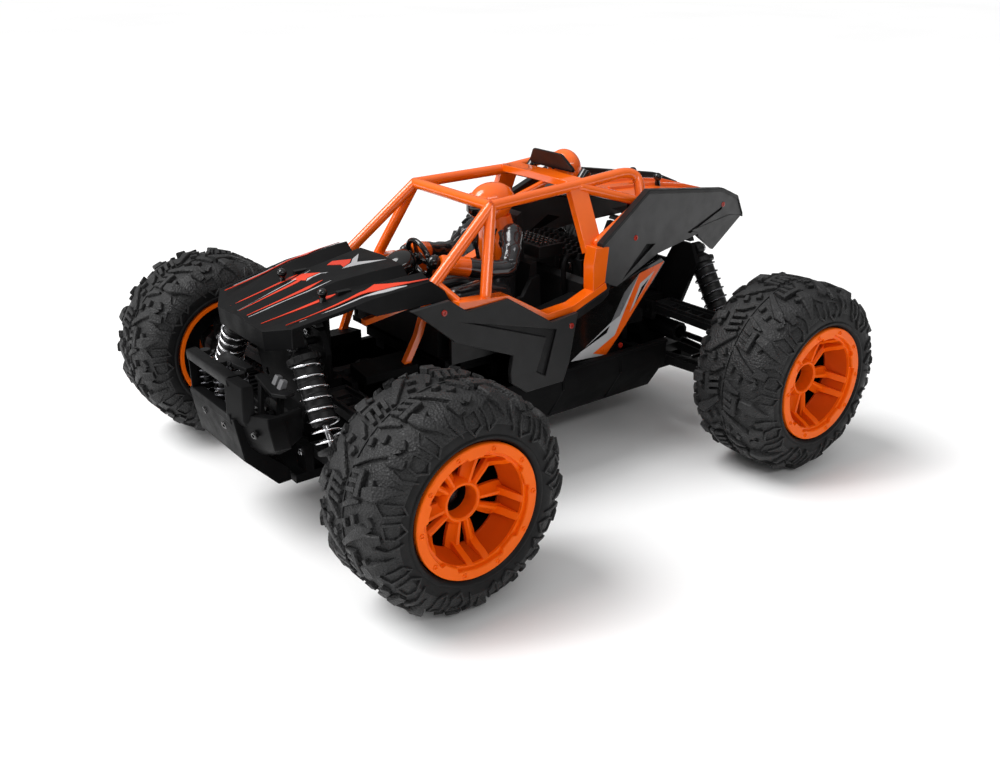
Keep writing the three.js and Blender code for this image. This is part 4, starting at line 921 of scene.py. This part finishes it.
# Top bar, leaning posts, side blocks, and the lower panel with its chin that sweeps back under the gear case.
bumper.loft([[(141.6, y, 74.8), (142.3, y, 73.2), (142.0, y, 70.4), (138.0, y, 70.6), (137.0, y, 74.6)]
             for y in (-19.6, -7, 0, 7, 19.6)])
for s in (1, -1):
    bumper.loft([[(142.2, s * 19.8, 74.4), (137.2, s * 20.6, 74.6), (134.0, s * 26.4, 71.4),
                  (138.6, s * 25.4, 71.4)],
                 [(142.4, s * 17.0, 70.2), (137.4, s * 17.4, 70.2), (134.0, s * 26.4, 69.6),
                  (138.8, s * 25.4, 69.6)],
                 [(142.4, s * 16.6, 57.4), (137.4, s * 16.6, 57.4), (134.4, s * 26.6, 57.0),
                  (139.0, s * 25.0, 57.0)],
                 [(141.2, s * 16.0, 54.0), (137.4, s * 16.0, 54.0), (133.4, s * 25.6, 54.0),
                  (138.0, s * 24.0, 54.0)]])
    bumper.loft([[(139.0, s * 17.5, 57.8), (135.0, s * 17.5, 57.8), (128.0, s * 36.0, 60.4),
                  (133.6, s * 35.4, 60.4)],
                 [(139.6, s * 17.5, 54.0), (135.0, s * 17.5, 54.0), (127.0, s * 37.6, 56.6),
                  (134.0, s * 36.6, 56.6)],
                 [(137.2, s * 17.5, 43.6), (133.0, s * 17.5, 43.6), (124.6, s * 36.4, 45.4),
                  (131.4, s * 34.8, 45.4)],
                 [(131.4, s * 17.5, 37.0), (127.0, s * 17.5, 38.0), (122.6, s * 28.4, 41.0),
                  (126.4, s * 28.0, 40.0)]])
    bumper.loft([[(133.6, s * 35.2, 60.2), (128.2, s * 36.0, 60.2), (118.8, s * 35.0, 60.6),
                  (119.0, s * 32.6, 60.6)],
                 [(133.8, s * 36.6, 56.4), (128.0, s * 37.4, 56.4), (118.8, s * 36.2, 57.0),
                  (118.8, s * 33.0, 57.0)],
                 [(131.2, s * 34.8, 46.0), (125.0, s * 36.2, 46.0), (118.8, s * 34.2, 48.0),
                  (118.8, s * 31.4, 48.0)]])
bumper.slot = 1
bumper.loft([[(142.2, y, 58.6), (137.6, y, 58.6), (136.8, y, 54.0), (141.6, y, 54.0)]
             for y in (-19, -6, 6, 19)])
bumper.prism("y", [(141.8, 57.0), (137.0, 57.0), (135.0, 44.0), (119.4, 29.6), (118.8, 23.4), (124.6, 23.2),
                   (138.4, 37.6)], -21.5, 21.5)
bumper.make("bumper_moulding", "chassis", "chassis_plastic", ["front_bumper"], bevel=0.5)
fixings = Shape(GLOSS)
for y, z, x in ((-9.5, 50.5, 140.0), (9.5, 50.5, 140.0), (-29, 52, 136.4), (29, 52, 136.4), (-6, 31, 129.4),
                (6, 31, 129.4)):
    screw(fixings, (x, y, z), (0.92, 0.2 * (1 if y > 0 else -1), -0.2), 1.7, 1.2)
fixings.make("bumper_bolts", "chassis", bevel=0.1)
small = Shape(DARK_STEEL, BLACK)
for y in (-16.4, 0, 16.4):
    small.slot = 0
    small.tube([(135.2 + 3.6 * math.cos(a), y + 3.6 * math.sin(a), 57.0 + 15.6 * a / (11 * math.pi)) for a in
                (2 * math.pi * k / 18 for k in range(100))], 0.5, 7)
    small.slot = 1
    small.tube([(135.2, y, 55), (135.2, y, 74)], 2.2, 12)
small.make("bumper_springs", "chassis", smooth=60)
braces = Shape(BLACK, BRAKE_GREY)
for s in (1, -1):
    braces.loft([[(119.6, s * 4, 66.4), (119.6, s * 4, 64.6), (123.4, s * 4, 64.4), (123.4, s * 4, 66.2)],
                 [(120.2, s * 26, 66.0), (120.2, s * 26, 64.2), (126.6, s * 25, 63.8),
                  (126.6, s * 25, 65.6)], [(118.6, s * 30, 65.6), (118.6, s * 30, 64.2),
                                           (122.8, s * 30, 64.0), (122.8, s * 30, 65.4)]])
    braces.loft([[(121.0, s * 6, 65), (123.0, s * 6, 65), (123.0, s * 9, 65), (121.0, s * 9, 65)],
                 [(126.0, s * 12, 47), (128.0, s * 12, 47), (128.0, s * 15, 47), (126.0, s * 15, 47)]])
    braces.loft([[(120.4, s * 22, 64.6), (122.6, s * 22, 64.6), (122.6, s * 25, 64.6), (120.4, s * 25, 64.6)],
                 [(122.4, s * 22, 48), (124.6, s * 22, 48), (124.6, s * 25, 48), (122.4, s * 25, 48)]])
    braces.slot = 1
    blocks = ((120.2, 17.6), (120.8, 23.2)) if s > 0 else ()
    for x, y in blocks:
        braces.loft([[(x - 1.2, s * (y - 1.5), 65.8), (x + 1.8, s * (y - 1.5), 65.8),
                      (x + 1.8, s * (y + 1.5), 65.8), (x - 1.2, s * (y + 1.5), 65.8)],
                     [(x - 2.4, s * (y - 1.5), 68.8), (x - 0.2, s * (y - 1.5), 69.4),
                      (x - 0.2, s * (y + 1.5), 69.4), (x - 2.4, s * (y + 1.5), 68.8)]])
    braces.slot = 0
braces.make("nose_braces", "chassis", bevel=0.3)

# ---------- cockpit, driver and roof ----------
tub = Shape(BLACK, DEEP, GLOSS)
for s in (1, -1):
    tub.prism("y", [(50, 89.6), (26.4, 88.4), (5, 75.6), (-14, 75.8), (-30, 82), (-30, 64), (50, 64)],
              *sorted((s * 38.6, s * 40.4)))
    # Inner side trays, stepped towards the seat.
    tub.loft([[(44, s * 38.4, 86), (44, s * 30, 84), (44, s * 24, 70), (44, s * 38.4, 68)],
              [(6, s * 38.4, 74.6), (6, s * 29, 73.6), (6, s * 19, 66.4), (6, s * 38.4, 66)],
              [(-27, s * 38.4, 79.6), (-27, s * 28, 78.6), (-27, s * 17, 70), (-27, s * 38.4, 66)]])
tub.slot = 1
tub.box((-30, 52), (-38.4, 38.4), (63, 65.6))
tub.slot = 0
tub.prism("y", [(-30, 64), (-27, 64), (-27, 84), (-30, 86)], -36, 36)
tub.prism("y", [(52, 64), (52, 91.5), (47.5, 94.6), (42, 90.6), (40.4, 84), (46, 80), (46, 64)], -33, 33)
tub.prism("y", [(-20, 65), (12, 65), (15, 71.5), (12, 73.4), (-12.4, 71.6), (-15.4, 90), (-19, 91)], -12.5,
          12.5)
tub.prism("y", [(-15.0, 88), (-13.2, 112), (-16.0, 113.5), (-18.0, 88)], -4.6, 4.6)
for s in (1, -1):
    tub.prism("y", [(-20, 66), (4, 66), (8, 75), (-9, 76), (-14.0, 84), (-19, 85)],
              *sorted((s * 12.6, s * 15.0)))
tub.slot = 2
tub.loft([[(x, w * math.cos(a), z + h * math.sin(a)) for a in (2 * math.pi * k / 24 for k in range(24))]
          for x, w, h, z in ((57.0, 2.0, 1.0, 97.6), (55.0, 6.4, 3.8, 98.0), (50.0, 7.4, 5.6, 99.0),
                             (46.0, 7.0, 5.8, 99.6), (43.6, 5.6, 4.6, 99.8))])
tub.tube([(46, 0, 98.6), (39, 0, 100.2)], 1.6, 12)
tub.slot = 0
for s in (1, -1):
    # Broad bevelled edge of the tub below the sill.
    tub.loft([[(x, s * 45.6, z), (x, s * 44.4, z + 1.0), (x, s * 40.6, z + 1.0), (x, s * 40.6, z - 3.4),
               (x, s * 44.6, z - 4.4)]
              for x, z in ((24.0, 87.2), (1.2, 73.4), (-13.0, 74.6), (-32.4, 81.6), (-35.4, 84.0))])
tub.make("cockpit_moulding", "chassis", "chassis_plastic", ["cockpit_tub"], bevel=0.35)

WHEEL_AT, WHEEL_AXIS = Vector((38.4, 0, 100.2)), Vector((10, 0, -2.6)).normalized()
side_axis, up_axis = Vector((0, 1, 0)), Vector((0, 1, 0)).cross(WHEEL_AXIS)
turn = lambda a, r, s: tuple(WHEEL_AT + WHEEL_AXIS * s + r
                             * (math.cos(a) * side_axis + math.sin(a) * up_axis))
wheel = Shape(GLOSS)
wheel.lathe([(8.2 + 1.25 * math.cos(b), 1.25 * math.sin(b))
             for b in (2 * math.pi * k / 10 for k in range(10))], turn, 44)
for a in (0.15, math.pi - 0.15, math.pi * 1.5):
    wheel.loft([[turn(a - w / r, r, s0), turn(a + w / r, r, s0), turn(a + w / r, r, s1),
                 turn(a - w / r, r, s1)] for r, w, s0,
                s1 in ((1.5, 1.3, 1.4, -0.2), (5.0, 0.9, 1.2, 0.0), (8.2, 1.2, 0.6, -0.6))])
wheel.lathe([(0.05, 1.8), (0.05, -0.9), (2.2, -0.9), (3.0, 0.0), (3.0, 1.8)], turn, 20)
wheel.make("steering_wheel", "chassis", bevel=0.12, smooth=50)

man = Shape(SUIT, ORANGE, GLOSS)
torso = [(74, 8.5, 6.0, -7.0), (84, 9.6, 6.4, -6.4), (94, 11.6, 7.0, -5.6), (102, 12.8, 7.2, -5.2),
         (107, 12.0, 6.6, -5.2), (110.5, 7.6, 5.0, -5.2)]
ring_at = lambda z, w, d, x, n=24: [(x + d * math.sin(a),
                                     w * math.copysign(abs(math.cos(a)) ** 0.8, math.cos(a)), z)
                                    for a in (2 * math.pi * k / n for k in range(n))]
man.loft([ring_at(z, w, d, x) for z, w, d, x in torso])
man.slot = 1
# Vest: a shell over the chest with a collar.
man.loft([ring_at(z, w, d, x)
          for z, w, d, x in ((91, 10.4, 7.6, -5.6), (98, 11.4, 8.4, -5.2), (105, 10.8, 8.0, -5.2),
                             (110.4, 8.6, 6.6, -4.8), (113.6, 7.2, 6.2, -4.4))])
for s in (1, -1):
    man.slot = 0
    wrinkle = lambda t: 1 + 0.05 * math.sin(t * 17) + 0.02 * math.sin(t * 31)
    path = arc((-4.6, s * 12.0, 106.4), (1.0, s * 19.5, 100), (4.0, s * 20.0, 94.6), 16)
    man.tube(path, [4.7 * wrinkle(k / 16) * (1.0 - 0.12 * k / 16) for k in range(17)], 18)
    man.ball(path[0], 4.9, 18, 12)
    fore = arc((3.6, s * 20.2, 94.2), (12, s * 20.6, 93.4), (24.6, s * 17.0, 97.2), 10)
    man.tube(fore, [4.3 * wrinkle(k / 10 + 0.3) for k in range(11)], 18)
    man.ball(path[-1], 4.4, 18, 12)
    man.slot = 1
    a, b = Vector((23.2, s * 17.4, 96.8)), Vector((36.4, s * 13.0, 99.6))
    man.tube([a, mix(a, b, 0.08), mix(a, b, 0.92), b], [4.0, 4.6, 4.3, 3.8], 22)
    man.slot = 2
    man.ball((38.2, s * 11.2, 100.4), 3.3, 14, 10, (1.0, 0.9, 1.0))
    for k in range(4):
        man.ball((39.6, s * (8.6 + 0.3 * k), 103.0 - 1.7 * k), 1.3, 10, 8)
    man.slot = 0
    man.tube([(-3, s * 6.6, 76.5), (12, s * 8.4, 81.6), (25, s * 9.2, 81.4)], [5.6, 5.0, 4.6], 16)
    man.ball((25, s * 9.2, 81.4), 4.7, 16, 10)
    man.tube([(25, s * 9.2, 81.4), (38, s * 9.2, 70)], [4.4, 3.4], 14)
    man.slot = 2
    man.ball((38.5, s * 9.2, 69.2), 3.6, 14, 8, (1.5, 0.9, 0.8))
    # Shoulder harness.
    man.slot = 2
    strap = [(-11.6, s * 5.4, 109.4), (-6.0, s * 5.8, 112.2), (0.6, s * 5.8, 107.6), (3.3, s * 5.2, 99.6),
             (2.2, s * 4.4, 91.4)]
    man.loft([[(x, y - 1.3, z), (x, y + 1.3, z), (x + 0.5, y + 1.2, z + 0.5), (x + 0.5, y - 1.2, z + 0.5)]
              for x, y, z in strap])
man.make("driver_body", "chassis", "suit_plastic", ["driver_figure"], smooth=50)

head = Shape(ORANGE, GLOSS)
cx, cz, tall = -2.2, 119.6, 8.8
profile = []
for k in range(1, 18):
    t = math.pi * k / 18
    z = cz - tall * math.cos(t)
    r = math.sin(t) ** (0.72 if z < cz else 0.94)
    wide_y, deep = 8.8 * r, 11.6 * r
    chin = 1.6 if z < cz - 2 else 0.0
    profile.append([(cx + chin * r + deep * math.sin(a), wide_y * math.cos(a), z)
                    for a in (2 * math.pi * j / 36 for j in range(36))])
head.loft(profile)
head.slot = 1
visor = []
for z, grow in ((114.6, 0.3), (116.4, 0.6), (119.4, 0.6), (121.4, 0.2)):
    r = math.sqrt(max(0.0, 1 - ((z - cz) / tall) ** 2)) ** (0.72 if z < cz else 0.94)
    chin = 1.6 if z < cz - 2 else 0.6
    arcs = [math.radians(90 + d) for d in range(-64, 65, 8)]
    outer = [(cx + chin * r + (11.6 * r + grow) * math.sin(a), (8.8 * r + grow) * math.cos(a), z)
             for a in arcs]
    inner = [(cx + (10.4 * r) * math.sin(a), (7.6 * r) * math.cos(a), z) for a in arcs[::-1]]
    visor.append(outer + inner)
head.loft(visor)
head.slot = 0
head.loft([[(cx + 7.0, y, 123.6 - 0.03 * y * y), (cx + 7.4, y, 124.8 - 0.03 * y * y),
            (cx + 14.0 - 0.04 * y * y, y, 122.8 - 0.02 * y * y),
            (cx + 14.0 - 0.04 * y * y, y, 122.2 - 0.02 * y * y)] for y in (-6.4, -3.4, 0, 3.4, 6.4)])
head.loft([ring_at(z, w, w, -4.6) for z, w in ((108, 6.0), (114, 5.6))])
head.make("driver_helmet", "chassis", "suit_plastic", bevel=0.2, smooth=50)

# Louvred block with a studded face behind the seat, and a short hose on each side of it.
block = Shape(BLACK, DEEP, GLOSS)
block.box((-60, -34), (-27, 27), (72, 92))
block.box((-34, -20), (-13, 13), (92.0, 97.6))
block.box((-34, -30), (-13, 13), (70, 92.0))
block.slot = 2
for x in (-32, -29, -26, -23):
    for k in range(8):
        block.tube([(x, -10.5 + 3 * k, 97.4), (x, -10.5 + 3 * k, 98.9)], [1.1, 0.8], 10)
block.slot = 0
for k in range(13):
    y = -24 + 4 * k
    for j in range(4):
        x = -57 + 6.2 * j
        block.loft([[(x, y - 1.2, 91.5), (x + 4.4, y - 1.2, 91.5), (x + 4.4, y + 1.2, 91.5),
                     (x, y + 1.2, 91.5)], [(x + 0.8, y - 0.6, 94.6), (x + 3.6, y - 0.6, 94.6),
                                           (x + 3.6, y + 0.6, 94.6), (x + 0.8, y + 0.6, 94.6)]])
block.slot = 2
for k in range(6):
    block.tube([(-33.2, -20 + 8 * k, 78), (-33.2, -20 + 8 * k, 90)], 1.3, 10)
block.slot = 1
block.box((-66, -36), (-34, 34), (68, 72.5))
for s in (1, -1):
    block.tube(arc((-36, s * 20, 92), (-20, s * 26, 100), (-28, s * 24, 70), 14), 1.3, 10)
block.make("engine_block_cover", "chassis", bevel=0.25)

pod = Shape(ORANGE, BLACK, GLOSS)
pod.ball((-45.6, 0, 129.4), 9.2, 32, 20, (0.78, 1.0, 1.0))
pod.slot = 1
plate_side = [(-14.4, 130.6), (14.4, 130.6), (15.6, 131.6), (15.2, 133.0), (10.6, 138.2), (9.4, 138.9),
              (-9.4, 138.9), (-10.6, 138.2), (-15.2, 133.0), (-15.6, 131.6)]
pod.loft([[(x + (z - 131.6) * 0.42, y, z) for y, z in plate_side] for x in (-37.2, -38.9)])
pod.tube([(-42, 0, 128), (-38.5, 0, 134)], 2.2, 12)
pod.slot = 2
pod.lathe([(0.1, 0), (12.2, 0), (12.6, 1.2), (12.2, 2.6), (0.1, 2.6)],
          lambda a, r, s: (-49 + 0.92 * r * math.sin(a), 1.06 * r * math.cos(a), 117.4 + s), 40)
for s in (1, -1):
    pod.tube([(-39.6, s * 18.5, 127.4), (-43.0, s * 18.5, 131.4)], 2.6, 16)
pod.make("roof_pod_moulding", "chassis", "orange_plastic", ["roof_pod"], bevel=0.3, smooth=45)

# ---------- chassis ----------
hull = Shape(DEEP)
profile = [(-46, 49), (-46.2, 39), (-35, 22), (35, 22), (46.2, 39), (46, 49), (43.6, 49), (43.6, 39.6),
           (33.6, 24.6), (-33.6, 24.6), (-43.6, 39.6), (-43.6, 49)]
hull.prism("x", profile, -74.5, 74.5)
for x0, x1 in ((72.1, 74.5), (-74.5, -72.1)):
    hull.prism("x", [(-45, 40.2), (-45, 39), (-34, 23), (34, 23), (45, 39), (45, 40.2)], x0, x1)
for s in (1, -1):
    for x in (-44, -8, 30):
        hull.loft([[(x - 0.7, s * 46.0, 48.6), (x + 0.7, s * 46.0, 48.6), (x + 0.7, s * 45.4, 48.6),
                    (x - 0.7, s * 45.4, 48.6)],
                   [(x - 0.7, s * 46.8, 40), (x + 0.7, s * 46.8, 40), (x + 0.7, s * 45.4, 40),
                    (x - 0.7, s * 45.4, 40)],
                   [(x - 0.7, s * 36.2, 23), (x + 0.7, s * 36.2, 23), (x + 0.7, s * 34.8, 24),
                    (x - 0.7, s * 34.8, 24)]])
    hull.loft([[(74.5, s * 46.9, 49.8), (74.5, s * 43.4, 49.8), (74.5, s * 43.4, 48.4),
                (74.5, s * 46.9, 48.4)], [(-74.5, s * 46.9, 49.8), (-74.5, s * 43.4, 49.8),
                                          (-74.5, s * 43.4, 48.4), (-74.5, s * 46.9, 48.4)]])
hull.make("chassis_hull", "chassis", "chassis_plastic", ["chassis_tray"], bevel=0.4)

# Dark structure seen through the gaps: floor plate, side uprights, body posts and tower screws.
inner = Shape(DEEP, DEEP, STEEL)
inner.slot = 1
inner.box((-70, 48), (-33, 33), (56.5, 62.6))
inner.slot = 0
for s in (1, -1):
    for x in (40, 20, 0, -20, -40, -60):
        inner.prism("y", [(x, 49.4), (x + 3, 49.4), (x + 3, 62), (x, 62)], *sorted((s * 26, s * 33)))
    inner.prism("x", [(s * 17, 60.4), (s * 30, 60.4), (s * 30, 64), (s * 17, 66)], 60, 86)
    inner.tube([(97, s * 17.5, 62), (97, s * 17.5, 95)], 2.2, 14)
    inner.tube([(-100, s * 9.0, 62), (-100, s * 9.0, 112)], 2.2, 14)
    inner.slot = 2
    for e in (1, -1):
        for y, z in ((20, 86), (29, 78)):
            screw(inner, (e * 106.2, s * y, z), (e, 0, 0), 1.6, 0.9)
    inner.slot = 0
for k in range(5):
    y = -10 + 5 * k
    inner.loft([[(101.4, y - 0.7, 60.2), (101.4, y + 0.7, 60.2), (88.6, y + 0.7, 60.2),
                 (88.6, y - 0.7, 60.2)], [(101.4, y - 0.5, 63.6), (101.4, y + 0.5, 63.6),
                                          (90, y + 0.5, 61.4), (90, y - 0.5, 61.4)]])
inner.make("inner_structure", "chassis", bevel=0.25)

caps = Shape(BLACK, STEEL)
for e in (1, -1):
    for s in (1, -1):
        caps.slot = 1
        screw(caps, (e * 117.0, s * 26, 84), (e, 0, 0), 2.4, 1.2)
        screw(caps, (e * 113.0, s * 20, 34), (e, 0, 0), 1.7, 0.9)
        caps.slot = 0
        caps.prism("x", [(s * 22, 90.2), (s * 30, 90.2), (s * 29, 92.2), (s * 23, 92.2)],
                   *sorted((e * 103.9, e * 107.2)))
caps.make("tower_fixings", "chassis", bevel=0.15)

# ---------- carried-over CAD pieces ----------
finish = {"battery_pack": DEEP, "drive_motor": SHAFT_BLACK, "centre_drive_shaft": SHAFT_BLACK,
          "control_board": DEEP, "steering_servo": DEEP, "servo_horn": BLACK, "steering_link": SHAFT_BLACK,
          "front_gear_case": DEEP, "rear_gear_case": DEEP}
for name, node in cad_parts.items():
    if node.hide_render:
        continue
    mat = finish.get(name, SHAFT_BLACK if name.endswith(("drive_shaft", "tie_rod")) else BLACK)
    node.data.materials.clear()
    node.data.materials.append(mat)
    soften(node, 0.25, 40)

# ---------- stage ----------
floor_mesh = bpy.data.meshes.new("floor")
floor_mesh.from_pydata([(-14, -14, 0), (14, -14, 0), (14, 14, 0), (-14, 14, 0)], [], [[0, 1, 2, 3]])
floor = bpy.data.objects.new("floor", floor_mesh)
bpy.context.scene.collection.objects.link(floor)
paper = Nodes("white paper floor")
paper.set(Base_Color=paper.tint(paper.ramp(paper.noise(3, 2), 0, 1), (0.93, 0.93, 0.93),
                                (0.96, 0.96, 0.96)), Roughness=0.6)
floor_mesh.materials.append(paper.mat)

# Light from the sky grows from the horizon to the zenith; the camera itself sees it white.
HORIZON, ZENITH = 0.04, 0.72
world = bpy.data.worlds.new("studio")
bpy.context.scene.world = world
world.use_nodes = True
sky, links = world.node_tree.nodes, world.node_tree.links
height = sky.new("ShaderNodeSeparateXYZ")
links.new(sky.new("ShaderNodeTexCoord").outputs["Generated"], height.inputs["Vector"])
ramp = sky.new("ShaderNodeMapRange")
ramp.inputs["From Min"].default_value, ramp.inputs["From Max"].default_value = 0.0, 1.0
ramp.inputs["To Min"].default_value, ramp.inputs["To Max"].default_value = HORIZON, ZENITH
links.new(height.outputs["Z"], ramp.inputs["Value"])
seen = sky.new("ShaderNodeMix")
links.new(sky.new("ShaderNodeLightPath").outputs["Is Camera Ray"], seen.inputs["Factor"])
links.new(ramp.outputs["Result"], seen.inputs["A"])
seen.inputs["B"].default_value = 1.0
links.new(seen.outputs["Result"], sky["Background"].inputs["Strength"])
sky["Background"].inputs["Color"].default_value = (1, 1, 1, 1)


def lamp(name, kind, at, look, energy, **settings):
    data = bpy.data.lights.new(name, kind)
    data.energy = energy
    for key, value in settings.items():
        setattr(data, key, value)
    obj = bpy.data.objects.new(name, data)
    obj.location = at
    obj.rotation_euler = (Vector(look) - Vector(at)).to_track_quat("-Z", "Y").to_euler()
    bpy.context.scene.collection.objects.link(obj)


lamp("key", "SUN", (0.6, -0.42, 1.05), (0, 0, 0), 2.55, angle=math.radians(36))
lamp("side strip", "AREA", (0.95, -0.35, 0.75), (0, 0, 0.08), 5, shape="RECTANGLE", size=0.16, size_y=1.3)
lamp("front strip", "AREA", (0.25, 1.15, 0.95), (0, 0, 0.08), 3.5, shape="RECTANGLE", size=1.3, size_y=0.14)

# The photograph's viewpoint and direction in metres, and its lens in millimetres on a 36 mm sensor.
CAMERA_AT, LENS = (0.2977 + ORIGIN_X / 1000, 0.3960, 0.2357), 39.49
CAMERA_LOOK = Vector((-0.5626, -0.7315, -0.3853))
camera_data = bpy.data.cameras.new("camera")
camera = bpy.data.objects.new("camera", camera_data)
bpy.context.scene.collection.objects.link(camera)
camera_data.sensor_width, camera_data.lens = 36.0, LENS
camera.location = CAMERA_AT
camera.rotation_euler = CAMERA_LOOK.to_track_quat("-Z", "Y").to_euler()
bpy.context.scene.camera = camera
bpy.context.scene.view_settings.view_transform = "Standard"
